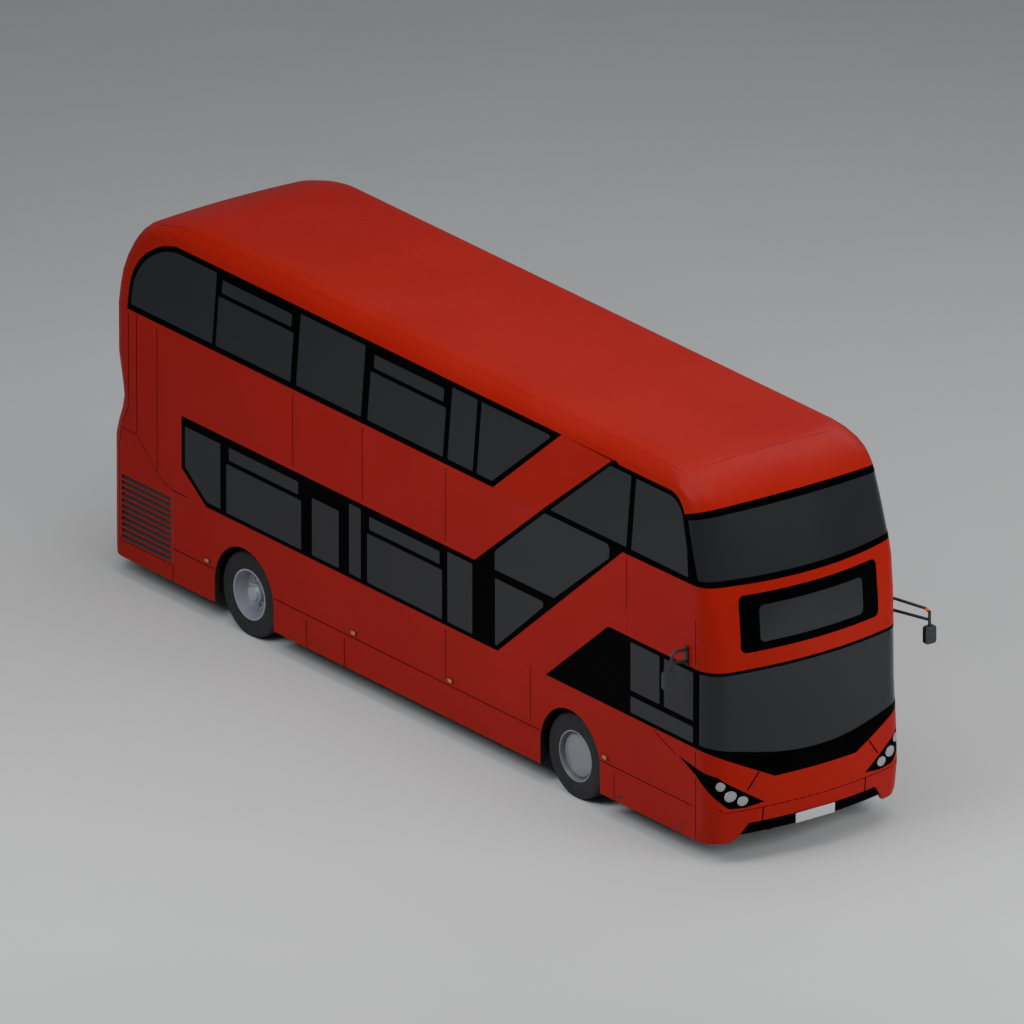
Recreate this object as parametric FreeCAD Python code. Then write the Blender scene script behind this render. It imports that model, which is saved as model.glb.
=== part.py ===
"""A two-door, low-floor, battery-electric double-decker bus, built as an assembly of separate pieces.

Frame: +X is the nearside (kerb side, the bus's left), +Y is the rear, +Z is up, and the ground is Z = 0.
Places along the bus are given as `ahead`, the distance forward of mid-length, so Y = -ahead.
The body is one lofted outer form and one inner form. Every wall panel, window frame and pane is cut
from the layer between them, so that neighbours meet at their real seams. All sizes are millimetres.
"""
import FreeCAD
import Part
import math
import os

Vector = FreeCAD.Vector

# ---------------------------------------------------------------- overall layout, along the bus
FRONT_OVERHANG = 2640.0
WHEELBASE = 5750.0
REAR_OVERHANG = 2530.0
LENGTH = FRONT_OVERHANG + WHEELBASE + REAR_OVERHANG
NOSE = LENGTH / 2
TAIL = -LENGTH / 2
FRONT_AXLE = NOSE - FRONT_OVERHANG
REAR_AXLE = TAIL + REAR_OVERHANG

# ---------------------------------------------------------------- overall layout, across and up
WIDTH = 2550.0
HALF = WIDTH / 2
SKIRT_BOTTOM = 240.0
SKIRT_HEIGHT = 380.0
WAIST_PANEL = 670.0
LOWER_BAND = 910.0                   # lower-deck window band
DECK_BAND = 930.0                    # panel between the two rows of windows
UPPER_BAND = 930.0                   # upper-deck window band
ROOF_RISE = 240.0
SKIRT_TOP = SKIRT_BOTTOM + SKIRT_HEIGHT
WAIST = SKIRT_TOP + WAIST_PANEL
BAND_TOP = WAIST + LOWER_BAND
SILL = BAND_TOP + DECK_BAND
CANTRAIL = SILL + UPPER_BAND
HEIGHT = CANTRAIL + ROOF_RISE

WALL = 60.0
GLASS = 8.0
GLASS_RECESS = 2.0
TUMBLEHOME = 0.0845                  # inward lean of the wall above the upper sill
SEAM = 0.8                           # gap between neighbouring body panels
SHUT_GAP = 8.0                       # gap round lids and flaps
SEAT_GAP = 0.3                       # clearance between a piece and what carries it

# ---------------------------------------------------------------- floors
FLOOR_TOP = 360.0
FLOOR_THICK = 40.0
REAR_FLOOR_TOP = 760.0
REAR_STEP = REAR_AXLE + 740.0        # where the lower-deck floor steps up
BULKHEAD = REAR_AXLE - 1120.0        # back wall of the lower saloon
DECK_FLOOR_TOP = BAND_TOP + 200.0
DECK_FLOOR_THICK = 140.0
DECK_FLOOR_UNDER = DECK_FLOOR_TOP - DECK_FLOOR_THICK

# ---------------------------------------------------------------- wheels and axles
TYRE_RADIUS = 478.5
TYRE_WIDTH = 275.0
RIM_RADIUS = 285.0
TYRE_INSET = 59.0                    # tyre's outer wall, inboard of the body side
ARCH_RADIUS = 522.0
TWIN_SPACING = 310.0
AXLE_Z = TYRE_RADIUS
WHEEL_X = HALF - TYRE_INSET - TYRE_WIDTH / 2
SPINDLE_RADIUS = 40.0
KINGPIN_INSET = 150.0                # kingpin, inboard of the wheel's middle plane
KINGPIN_RADIUS = 20.0
RUNNING_FIT = 0.05
BOX_X = 560.0                        # inner face of a wheel box
BOX_HALF_LENGTH = 600.0
BOX_TOP = 1075.0
BOX_WALL = 25.0
CASING_RADIUS = 75.0
AXLE_NOTCH = CASING_RADIUS + 30.0    # half the cut for the rear axle in its wheel boxes

# ---------------------------------------------------------------- doors, in the nearside wall
DOORS = {"front": (3640.0, 4860.0), "exit": (-700.0, 520.0)}
DOOR_BOTTOM = FLOOR_TOP + 2.0
DOOR_TOP = BAND_TOP - 35.0
LEAF_THICK = 36.0
LEAF_RECESS = 12.0
LEAF_BORDER = 48.0
JAMB_GAP = 13.0
POST_INSET = 60.0                    # leaf's pivots, inboard of its middle plane
POST_RADIUS = 16.0
POST_SET_BACK = 40.0                 # post, behind the wall beyond its jamb


def point(x, ahead, z):
    return Vector(x, -ahead, z)


# ================================================================ shape helpers
def rounded_edges(corners, place):
    """Edges of a closed outline. A corner is (a, b) or (a, b, radius); place(a, b) is its point in space."""
    count = len(corners)
    runs = []
    for i, corner in enumerate(corners):
        here = Vector(corner[0], corner[1], 0)
        if len(corner) < 3:
            runs.append((here, None, here))
            continue
        before = Vector(*corners[i - 1][:2], 0) - here
        after = Vector(*corners[(i + 1) % count][:2], 0) - here
        before.normalize()
        after.normalize()
        half = before.getAngle(after) / 2
        cut = corner[2] / math.tan(half)
        middle = before + after
        middle.normalize()
        centre = here + middle * (corner[2] / math.sin(half))
        runs.append((here + before * cut, centre - middle * corner[2], here + after * cut))
    edges = []
    for i, (start, mid, end) in enumerate(runs):
        if mid is not None:
            edges.append(Part.Arc(*(place(p.x, p.y) for p in (start, mid, end))).toShape())
        following = runs[(i + 1) % count][0]
        if (following - end).Length > 1e-6:
            edges.append(Part.LineSegment(place(end.x, end.y), place(following.x, following.y)).toShape())
    return edges


def prism(corners, place, along, grow=0.0):
    """Solid swept from an outline; grow moves the outline outwards, or inwards if negative."""
    face = Part.Face(Part.Wire(rounded_edges(corners, place)))
    if grow:
        face = face.makeOffset2D(grow, 2)
    return face.extrude(along)


def side_prism(corners, x_from, x_to, grow=0.0):
    """Outline of (ahead, z) corners, run across the bus."""
    return prism(corners, lambda a, b: point(x_from, a, b), Vector(x_to - x_from, 0, 0), grow)


def front_prism(corners, ahead_from, ahead_to, grow=0.0):
    """Outline of (x, z) corners, run along the bus."""
    return prism(corners, lambda a, b: point(a, ahead_from, b), Vector(0, ahead_from - ahead_to, 0), grow)


def block(x0, x1, ahead0, ahead1, z0, z1):
    return Part.makeBox(x1 - x0, ahead1 - ahead0, z1 - z0, Vector(x0, -ahead1, z0))


def box_outline(a0, a1, b0, b1, radius=0.0):
    corners = [(a0, b0), (a1, b0), (a1, b1), (a0, b1)]
    return [corner + (radius,) for corner in corners] if radius else corners


def rod(radius, start, end):
    return Part.makeCylinder(radius, (end - start).Length, start, end - start)


def mirrored(shape):
    return shape.mirror(Vector(0, 0, 0), Vector(1, 0, 0))


def joined(shapes):
    shapes = list(shapes)
    whole = shapes[0] if len(shapes) == 1 else shapes[0].fuse(shapes[1:])
    return whole.removeSplitter()


def export(name, shapes):
    """Writes one node; a node may hold several solids that don't touch."""
    solids = [solid for shape in shapes for solid in shape.Solids]
    whole = solids[0] if len(solids) == 1 else Part.makeCompound(solids)
    print(name, len(solids), "solids", "" if whole.isValid() and solids else "INVALID")
    whole.exportStep("parts/" + name + ".step")


# ================================================================ body form
# Horizontal sections, from the skirt up to the crown of the roof. Columns: height, side inset (beyond the
# tumblehome), set-back of the nose, nose bow radius, nose corner radius, set-back of the tail, tail corner.
TAIL_BOW = 9000.0
SECTIONS = [
    (SKIRT_BOTTOM, 0, 70, 4600, 250, 25, 270),
    (SKIRT_BOTTOM + 90, 0, 35, 4600, 240, 12, 280),
    (SKIRT_TOP, 0, 0, 4600, 230, 10, 280),
    (WAIST - 120, 0, 10, 4600, 270, 10, 280),
    (WAIST + 310, 0, 28, 4600, 290, 10, 280),
    (WAIST + 480, 0, 31, 4600, 290, 60, 280),
    (WAIST + 645, 0, 34, 4600, 290, 126, 280),
    (WAIST + 790, 0, 38, 4600, 290, 155, 280),
    (BAND_TOP, 0, 40, 4600, 290, 140, 280),
    (BAND_TOP + 370, 0, 50, 4200, 265, 62, 280),
    (SILL - 190, 0, 74, 3700, 240, 60, 280),
    (SILL, 0, 115, 3500, 230, 60, 280),
    (SILL + 190, 0, 158, 3550, 240, 72, 285),
    (SILL + 370, 0, 200, 3650, 255, 100, 290),
    (SILL + 540, 0, 243, 3800, 275, 160, 300),
    (SILL + 700, 0, 288, 4000, 295, 240, 320),
    (CANTRAIL - 150, 0, 318, 4100, 310, 296, 330),
    (CANTRAIL - 70, 0, 364, 4200, 320, 366, 335),
    (CANTRAIL, 2, 425, 4200, 330, 452, 340),
    (CANTRAIL + 70, 21, 515, 4200, 345, 585, 350),
    (CANTRAIL + 140, 66, 630, 4200, 360, 785, 360),
    (CANTRAIL + 190, 120, 750, 4200, 370, 965, 360),
    (CANTRAIL + 222, 180, 880, 4200, 370, 1120, 350),
    (HEIGHT, 320, 1120, 4200, 330, 1300, 330),
]
ROOF_THINNING = 0.85                 # a wall inset of 1 sinks the crown by this much


def end_arcs(half_width, tip, bow, corner, sign):
    """Corner, bow and corner arcs of one end, from offside to nearside, tangent to each other."""
    reach = math.sqrt((bow - corner) ** 2 - (half_width - corner) ** 2)
    side_end = tip - bow + reach
    turn = (math.pi / 2 - math.atan2(half_width - corner, reach)) / 2
    near = []
    for step in range(3):
        out = half_width - corner + corner * math.cos(step * turn)
        near.append((out, side_end + corner * math.sin(step * turn)))
    far = [(-out, forward) for out, forward in near]
    arcs = [far, [far[2], (0, tip), near[2]], near[::-1]]
    return [[(out, sign * forward) for out, forward in arc] for arc in arcs]


def section_wire(row, inset, drop):
    z, side, nose, bow, nose_corner, tail, tail_corner = row
    lean = max(0.0, min(z, CANTRAIL) - SILL) * TUMBLEHOME
    half_width = HALF - side - lean - inset
    height = z - drop - inset * ROOF_THINNING * max(0.0, z - SILL) / (HEIGHT - SILL)
    front = end_arcs(half_width, NOSE - nose - inset, bow - inset, nose_corner - inset, 1)
    back = end_arcs(half_width, -TAIL - tail - inset, TAIL_BOW - inset, tail_corner - inset, -1)
    arcs = front + [arc[::-1] for arc in back[::-1]]
    edges = []
    for i, arc in enumerate(arcs):
        edges.append(Part.Arc(*(point(x, ahead, height) for x, ahead in arc)).toShape())
        end, start = arc[-1], arcs[(i + 1) % len(arcs)][0]
        if math.dist(end, start) > 1e-6:
            edges.append(Part.LineSegment(point(*end, height), point(*start, height)).toShape())
    return Part.Wire(edges)


def body_form(inset, drop=0.0):
    """Solid form of the body, inset from its outer surface. drop runs an inner form out below the skirt."""
    wires = []
    for i, row in enumerate(SECTIONS):
        wires.append(section_wire(row, inset, 0.0 if i else drop))
    return Part.makeLoft(wires, True, True)


OUTER = body_form(0.0)
INNER = body_form(WALL, WALL)
WALL_LAYER = OUTER.cut(INNER)
GLASS_LAYER = body_form(GLASS_RECESS).cut(body_form(GLASS_RECESS + GLASS, GLASS))

# The body is worked on in parts: two sides, nose, tail and the crown between them.
REACH = 400.0                        # how far a side's block reaches in from the wall's outer face
SIDE_FRONT = 5002.0                  # front end of the lower side walls
SIDE_REAR = -5123.0                  # rear end of the lower side walls
PILLAR_FOOT = (4950.0, SILL)         # windscreen pillar of the upper deck: foot and head
PILLAR_HEAD = (4725.0, CANTRAIL - 210)


def near_wall(layer, sign):
    x0, x1 = sorted((sign * (HALF + 10), sign * (HALF - REACH)))
    return layer.common(block(x0, x1, TAIL - 10, NOSE + 10, SKIRT_BOTTOM - 10, HEIGHT - 60))


SIDE_WALLS = {-1: near_wall(WALL_LAYER, -1), 1: near_wall(WALL_LAYER, 1)}
SIDE_GLASS = {-1: near_wall(GLASS_LAYER, -1), 1: near_wall(GLASS_LAYER, 1)}
FRONT_WALL = WALL_LAYER.common(block(-HALF, HALF, NOSE - 1000, NOSE, SKIRT_BOTTOM - 10, HEIGHT))
FRONT_GLASS = GLASS_LAYER.common(block(-HALF, HALF, NOSE - 1000, NOSE, SKIRT_BOTTOM - 10, HEIGHT))
REAR_WALL = WALL_LAYER.common(block(-HALF, HALF, TAIL, TAIL + 1400, SKIRT_BOTTOM - 10, HEIGHT))
REAR_GLASS = GLASS_LAYER.common(block(-HALF, HALF, TAIL, TAIL + 1400, SKIRT_BOTTOM - 10, HEIGHT))


def on_side(layer, corners, sign, grow=0.0):
    """Piece of a side layer within an outline of (ahead, z) corners."""
    return layer[sign].common(side_prism(corners, sign * (HALF - REACH), sign * (HALF + 10), grow))


def through_side(corners, sign, grow=0.0):
    return side_prism(corners, sign * (HALF - REACH), sign * (HALF + 10), grow)


# ================================================================ side windows
# Outlines are (ahead, z) corners, with a third number where a corner is rounded. Panes are openings in the
# black frames; a pane row is (ahead from, ahead to, z from, z to).
PANE_ROUND = 18.0
REAR_LOWER_PANES = [
    (-3252, -1918, WAIST + 43, BAND_TOP - 300),
    (-3204, -1969, BAND_TOP - 250, BAND_TOP - 100),
    (-1731, -1251, WAIST + 45, BAND_TOP - 205),
    (-1073, -861, WAIST + 46, BAND_TOP - 60),
]
OFFSIDE_LOWER_PANES = [
    (-754, 570, WAIST + 43, BAND_TOP - 300),
    (-719, 528, BAND_TOP - 250, BAND_TOP - 100),
    (660, 1103, WAIST + 45, BAND_TOP - 60),
]
NEARSIDE_LOWER_PANES = [
    (640, 1960, WAIST + 43, BAND_TOP - 300),
    (690, 1910, BAND_TOP - 250, BAND_TOP - 100),
    (2060, 3520, WAIST + 43, BAND_TOP - 60),
]
DRIVER_PANES = [
    (3865, 4374, WAIST + 297, BAND_TOP - 62),
    (4447, 4958, WAIST + 297, BAND_TOP - 62),
    (3865, 4958, WAIST + 43, WAIST + 232),
]
UPPER_PANES = [
    (-3445, -2113, SILL + 64, CANTRAIL - 310),
    (-3398, -2160, SILL + 666, CANTRAIL - 115),
    (-2015, -866, SILL + 62, CANTRAIL - 66),
    (-755, 577, SILL + 62, CANTRAIL - 318),
    (-707, 523, SILL + 660, CANTRAIL - 118),
    (656, 1102, SILL + 64, CANTRAIL - 62),
]
NEARSIDE_UPPER_PANES = [
    (1182, 2440, SILL + 62, CANTRAIL - 318),
    (1230, 2392, SILL + 660, CANTRAIL - 118),
    (2540, 3787, SILL + 62, CANTRAIL - 66),
]
REAR_LOWER_QUARTER = [(-3986, WAIST + 341), (-3598, WAIST + 54), (-3351, WAIST + 54),
                      (-3351, BAND_TOP - 104), (-3986, BAND_TOP - 104)]
REAR_UPPER_QUARTER = [(-4951, SILL + 64), (-3499, SILL + 64), (-3499, CANTRAIL - 63),
                      (-4379, CANTRAIL - 63, 840), (-4767, SILL + 623, 640), (-4938, SILL + 353, 545)]
FRONT_UPPER_QUARTER = [(3870, SILL + 57), (4862, SILL + 57), (4808, SILL + 370, 900),
                       (4640, CANTRAIL - 79, 270), (3870, CANTRAIL - 79)]
REAR_TRIANGLE = [(1170, SILL + 63), (1440, SILL + 63), (2406, CANTRAIL - 65, 20), (1170, CANTRAIL - 65)]
STAIR_PANES = [
    [(1497, WAIST + 54), (1530, WAIST + 54, 20), (2345, 2045, 30), (2345, BAND_TOP - 93, 30),
     (1497, BAND_TOP - 93)],
    [(1492, BAND_TOP), (2530, BAND_TOP + 5), (3500, SILL - 155, 60), (3500, SILL - 4, 60),
     (2367, SILL - 6), (1492, BAND_TOP + 212, 80)],
    [(2456, SILL + 57), (3787, SILL + 57), (3787, CANTRAIL - 77), (3420, CANTRAIL - 77, 60)],
]

STAIR_FRONT_EDGE = [(1548, WAIST), (3731, SILL - 15)]
STAIR_REAR_EDGE = [(3430, CANTRAIL - 24, 80), (1143, BAND_TOP)]
QUARTER_HEAD = [PILLAR_FOOT, PILLAR_HEAD, (4640, CANTRAIL - 24, 290)]
LOWER_BAND_REAR = [(-4042, BAND_TOP, 20), (-4042, WAIST + 313), (-3602, WAIST)]
UPPER_BAND_REAR = [(-4388, CANTRAIL, 900), (-4809, SILL + 665, 700), (-4990, SILL + 380, 580), (-5005, SILL)]
DRIVER_BAND = [(2394, WAIST), (SIDE_FRONT, WAIST), (SIDE_FRONT, BAND_TOP - 10), (3480, BAND_TOP - 10, 110)]
DOOR_BANDS = {
    "rear": LOWER_BAND_REAR + [(DOORS["exit"][0], WAIST), (DOORS["exit"][0], BAND_TOP)],
    "middle": box_outline(DOORS["exit"][1], DOORS["front"][0] - 40, WAIST, BAND_TOP),
    "exit_header": box_outline(DOORS["exit"][0] + SEAT_GAP, DOORS["exit"][1] - SEAT_GAP, DOOR_TOP, BAND_TOP),
    "front_header": box_outline(DOORS["front"][0] - 40 + SEAT_GAP, SIDE_FRONT, DOOR_TOP, BAND_TOP - 10),
}
BANDS = {
    -1: [
        LOWER_BAND_REAR + STAIR_FRONT_EDGE + QUARTER_HEAD + STAIR_REAR_EDGE,
        [(1463, SILL), (2560, CANTRAIL, 60)] + UPPER_BAND_REAR,
        DRIVER_BAND,
    ],
    1: list(DOOR_BANDS.values()) + [
        UPPER_BAND_REAR + QUARTER_HEAD + [(3560, CANTRAIL - 24), (3520, CANTRAIL)]],
}


def pane_outlines(sign):
    shared = REAR_LOWER_PANES + UPPER_PANES
    own = OFFSIDE_LOWER_PANES + DRIVER_PANES if sign < 0 else NEARSIDE_LOWER_PANES + NEARSIDE_UPPER_PANES
    outlines = [box_outline(*row, PANE_ROUND) for row in shared + own]
    outlines += [REAR_LOWER_QUARTER, REAR_UPPER_QUARTER, FRONT_UPPER_QUARTER]
    return outlines + STAIR_PANES + [REAR_TRIANGLE] if sign < 0 else outlines


window_frames = []
side_windows = []
for sign in (-1, 1):
    openings = [through_side(outline, sign) for outline in pane_outlines(sign)]
    for outline in BANDS[sign]:
        window_frames.append(on_side(SIDE_WALLS, outline, sign).cut(openings))
    for outline in pane_outlines(sign):
        side_windows.append(on_side(SIDE_GLASS, outline, sign, -SEAT_GAP))

# ================================================================ front glazing
UPPER_SCREEN = [PILLAR_FOOT, (NOSE, SILL - 15), (NOSE, CANTRAIL + 29), PILLAR_HEAD]
UPPER_SCREEN_GLASS = [(5012, SILL + 60), (NOSE, SILL + 60), (NOSE, CANTRAIL - 71), (4790, CANTRAIL - 260)]
SCREEN_TOP = BAND_TOP - 14
LOWER_SCREEN = [(-HALF, WAIST), (-540, WAIST - 355), (540, WAIST - 355), (HALF, WAIST),
                (HALF, SCREEN_TOP), (-HALF, SCREEN_TOP)]
LOWER_SCREEN_GLASS = [(-HALF, WAIST + 52), (0, WAIST - 185, 3600), (HALF, WAIST + 52),
                      (HALF, SCREEN_TOP - 30), (-HALF, SCREEN_TOP - 30)]
SCREEN_SIDE = 5060.0                 # rear edge of the lower windscreen's glass
BEZEL = box_outline(-914, 914, BAND_TOP + 175, SILL - 120, 70)
DISPLAY = box_outline(-685, 685, BAND_TOP + 265, SILL - 253, 60)
NOSE_DEPTH = 600.0


def across_front(corners, grow=0.0):
    """Outline of (ahead, z) corners, run right across the bus."""
    return side_prism(corners, -HALF, HALF, grow)


def through_front(corners, grow=0.0, rear=NOSE - NOSE_DEPTH):
    return front_prism(corners, rear, NOSE + 10, grow)


windscreens = [
    FRONT_GLASS.common(across_front(UPPER_SCREEN_GLASS, -SEAT_GAP)),
    FRONT_GLASS.common(through_front(LOWER_SCREEN_GLASS, -SEAT_GAP, SCREEN_SIDE + SEAT_GAP)),
    FRONT_GLASS.common(through_front(DISPLAY, -SEAT_GAP)),
]
window_frames += [
    FRONT_WALL.common(across_front(UPPER_SCREEN, -SEAT_GAP)).cut(across_front(UPPER_SCREEN_GLASS)),
    FRONT_WALL.common(through_front(LOWER_SCREEN, -SEAT_GAP, SIDE_FRONT + SEAT_GAP)).cut(
        through_front(LOWER_SCREEN_GLASS, 0.0, SCREEN_SIDE)),
    FRONT_WALL.common(through_front(BEZEL)).cut(through_front(DISPLAY)),
]

# ================================================================ lamps and black trim
# A headlamp cluster wraps the front corner, so it is drawn square to the corner's diagonal: `along` runs from
# the body side towards the nose. Lamp columns: along, height, radius.
DIAGONAL = math.sqrt(0.5)
CLUSTER = [(2432, 1113), (2635, 987), (2828, 810), (3005, 654, 60), (3162, 640), (3352, 670), (2885, 1020)]
HEADLAMPS = [(2918, 915, 52), (3020, 795, 62), (3140, 722, 55)]
CLUSTER_DEPTHS = (4050.0, 4600.0)    # how far out along the diagonal the cluster is cut


def corner_place(out):
    return lambda along, z: point((along - out) * DIAGONAL, (along + out) * DIAGONAL, z)


def cluster_prism(grow=0.0):
    start, end = CLUSTER_DEPTHS
    step = (end - start) * DIAGONAL
    return prism(CLUSTER, corner_place(start), Vector(-step, -step, 0), grow)


def corner_rod(along, z, radius):
    return rod(radius, *(corner_place(out)(along, z) for out in CLUSTER_DEPTHS))


REAR_LAMPS = [(1075, z, 58) for z in (940, 1085, 1230, 1375)]
REAR_LAMP_PANEL = box_outline(990, 1160, 850, 1465, 60)
REAR_LAMP_DEPTH = 500.0


def through_rear(corners, grow=0.0, front=TAIL + 700):
    return front_prism(corners, TAIL - 10, front, grow)


def rear_rod(x, z, radius):
    return rod(radius, point(x, TAIL - 10, z), point(x, TAIL + REAR_LAMP_DEPTH, z))


offside_cluster = cluster_prism()
cluster_fit = cluster_prism(SEAT_GAP)
cluster_fits = [cluster_fit, mirrored(cluster_fit)]
headlamp_panel = FRONT_WALL.common(offside_cluster).cut([corner_rod(*lamp) for lamp in HEADLAMPS])
rear_lamp_panel = REAR_WALL.common(through_rear(REAR_LAMP_PANEL))
rear_lamp_panel = rear_lamp_panel.cut([rear_rod(*lamp) for lamp in REAR_LAMPS])
lenses = [FRONT_WALL.common(corner_rod(a, z, r - SEAT_GAP)) for a, z, r in HEADLAMPS]
lenses += [REAR_WALL.common(rear_rod(x, z, r - SEAT_GAP)) for x, z, r in REAR_LAMPS]
lamps = lenses + [mirrored(lens) for lens in lenses]

# The bumper is notched from below, and the black intake fills the top of the notch.
NOTCH_TOP = SKIRT_BOTTOM + 210
NOTCH_HALF = 840.0                   # half width at the top of the notch
NOTCH_FLARE = 170.0                  # how much wider it is, each side, at the bottom
INTAKE_BOTTOM = SKIRT_BOTTOM + 75
INTAKE_SET_BACK = 25.0
NOTCH = [(-NOTCH_HALF - NOTCH_FLARE, SKIRT_BOTTOM - 10), (NOTCH_HALF + NOTCH_FLARE, SKIRT_BOTTOM - 10),
         (NOTCH_HALF, NOTCH_TOP), (-NOTCH_HALF, NOTCH_TOP)]
intake = FRONT_WALL.common(through_front(NOTCH, -SEAT_GAP))
intake = intake.common(block(-HALF, HALF, SIDE_FRONT, NOSE, INTAKE_BOTTOM, NOTCH_TOP))
intake.translate(Vector(0, INTAKE_SET_BACK, 0))
intake = intake.cut(INNER)
door_openings = [side_prism(box_outline(*span, DOOR_BOTTOM, DOOR_TOP), 0, HALF + 10)
                 for span in DOORS.values()]
nearside_headlamp_panel = mirrored(headlamp_panel).cut(door_openings)
black_trim = [headlamp_panel, nearside_headlamp_panel, rear_lamp_panel, mirrored(rear_lamp_panel), intake]

# ================================================================ front panels
CREASE = SKIRT_TOP - 8
front_lower = FRONT_WALL.common(block(-HALF, HALF, SIDE_FRONT + SEAM, NOSE + 10, SKIRT_BOTTOM, SCREEN_TOP))
front_lower = front_lower.cut(cluster_fits + [through_front(LOWER_SCREEN, 0.0, SIDE_FRONT),
                                              through_front(NOTCH)])
bumper = front_lower.common(block(-HALF, HALF, SIDE_FRONT, NOSE + 10, SKIRT_BOTTOM, CREASE - SEAM / 2))
dash_panel = front_lower.common(block(-HALF, HALF, SIDE_FRONT, NOSE + 10, CREASE + SEAM / 2, SCREEN_TOP))
DECK_FRONT = [(SIDE_FRONT, BAND_TOP - 10), (NOSE + 10, BAND_TOP - 10), (NOSE + 10, SILL - 15), PILLAR_FOOT,
              (SIDE_FRONT, SILL - 430)]
deck_front = FRONT_WALL.common(across_front(DECK_FRONT, -SEAM / 2)).cut(through_front(BEZEL, SEAT_GAP))
front_panels = [bumper, dash_panel, deck_front]

# ================================================================ side panels
ARCH_Z = AXLE_Z + 21.5
LOW_SEAM = 425.0                     # below the rear flaps
FLAP_FRONT = -4194.0
FLAP_SLOPE = [(-4345, WAIST + 34), (-4477, WAIST + 130), (-4645, WAIST + 272), (-4840, WAIST + 441)]
REAR_SEAM = [(-5160, SKIRT_BOTTOM), (-5160, WAIST + 220), (SIDE_REAR, WAIST + 441), (-4985, BAND_TOP - 190),
             (-4985, SILL)]
FLAP_OPENING = [(-5160, LOW_SEAM), (FLAP_FRONT, LOW_SEAM), (FLAP_FRONT, WAIST)] + FLAP_SLOPE + [
    (SIDE_REAR, WAIST + 441), (-5160, WAIST + 220)]
SKIRT_SEAMS = [FLAP_FRONT, -1828, -1152, 2121, 3587, SIDE_FRONT]
WAIST_SEAMS = [FLAP_FRONT, REAR_AXLE - 720, REAR_AXLE + 680, 634, 2121, 3587, SIDE_FRONT]
DECK_SEAMS = {-1: [-4985, -4477, -2063, -834, 634, 3801, SIDE_FRONT],
              1: [-4985, -4477, -2063, -834, 634, 2121, 3587, SIDE_FRONT]}
SIDE_PANEL_AREA = REAR_SEAM + [PILLAR_FOOT, (SIDE_FRONT, SILL - 430), (SIDE_FRONT, SKIRT_BOTTOM)]


def arch_opening(axle, radius):
    """Wheel arch: a half round on straight sides."""
    foot = SKIRT_BOTTOM - 10
    corners = [(axle - radius, foot), (axle + radius, foot), (axle + radius, ARCH_Z + radius, radius - 0.01),
               (axle - radius, ARCH_Z + radius, radius - 0.01)]
    return side_prism(corners, -HALF - 10, HALF + 10)


arches = [arch_opening(FRONT_AXLE, ARCH_RADIUS), arch_opening(REAR_AXLE, ARCH_RADIUS)]
lower_side_panels = []
upper_side_panels = []
for sign in (-1, 1):
    wall = on_side(SIDE_WALLS, SIDE_PANEL_AREA, sign, -SEAM / 2)
    fits = [through_side(outline, sign, SEAT_GAP) for outline in BANDS[sign]]
    wall = wall.cut(fits + arches + [through_side(FLAP_OPENING, sign), cluster_fits[(sign + 1) // 2]])
    if sign > 0:
        wall = wall.cut(door_openings)
    rows = [
        (lower_side_panels, SKIRT_BOTTOM, SKIRT_TOP, SKIRT_SEAMS),
        (lower_side_panels, SKIRT_TOP, WAIST, WAIST_SEAMS),
        (upper_side_panels, WAIST, SILL, DECK_SEAMS[sign]),
    ]
    for node, low, high, seams in rows:
        for rear, front in zip([TAIL] + seams, seams):
            cell = block(-HALF, HALF, rear + SEAM / 2, front - SEAM / 2, low + SEAM / 2, high - SEAM / 2)
            node.append(wall.common(cell))

upper_flank = [(1463, SILL), (2296, SILL), (3430, CANTRAIL - 24), (2560, CANTRAIL)]
flank = on_side(SIDE_WALLS, upper_flank, -1)
flank = flank.cut([through_side(outline, -1, SEAT_GAP) for outline in BANDS[-1]])
upper_side_panels.append(flank)

# ================================================================ roof and rear panels
ROOF_AREA = [(TAIL - 10, CANTRAIL), (3520, CANTRAIL), (3560, CANTRAIL - 24), (4640, CANTRAIL - 24, 290),
             PILLAR_HEAD, (NOSE + 10, CANTRAIL + 32), (NOSE + 10, HEIGHT + 10), (TAIL - 10, HEIGHT + 10)]
roof = WALL_LAYER.common(side_prism(ROOF_AREA, -HALF - 10, HALF + 10, -SEAT_GAP))

REAR_AREA = [(TAIL - 10, SKIRT_BOTTOM)] + REAR_SEAM + [
    (-4240, SILL), (-4240, CANTRAIL), (TAIL - 10, CANTRAIL)]
REAR_FRAME = box_outline(-1000, 1000, SILL - 60, CANTRAIL - 20, 130)
REAR_GLAZING = box_outline(-910, 910, SILL + 30, CANTRAIL - 110, 90)
LID = box_outline(-930, 930, SKIRT_TOP + 4, WAIST + 270, 30)
rear_skin = REAR_WALL.common(side_prism(REAR_AREA, -HALF, HALF, -SEAM / 2))
rear_fits = [through_side(BANDS[sign][-1 if sign > 0 else 1], sign, SEAT_GAP) for sign in (-1, 1)]
rear_lamp_fit = through_rear(REAR_LAMP_PANEL, SEAT_GAP)
rear_skin = rear_skin.cut(rear_fits + [through_rear(REAR_FRAME, SEAT_GAP), through_rear(LID),
                                       rear_lamp_fit, mirrored(rear_lamp_fit)])
rear_panels = []
rear_seams = [SKIRT_BOTTOM, SKIRT_TOP, WAIST + 441, CANTRAIL]
for low, high in zip(rear_seams, rear_seams[1:]):
    rear_panels.append(rear_skin.common(block(-HALF, HALF, TAIL, -4000, low, high - SEAM)))
window_frames.append(REAR_WALL.common(through_rear(REAR_FRAME)).cut(through_rear(REAR_GLAZING)))
windscreens.append(REAR_GLASS.common(through_rear(REAR_GLAZING, -SEAT_GAP)))

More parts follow.
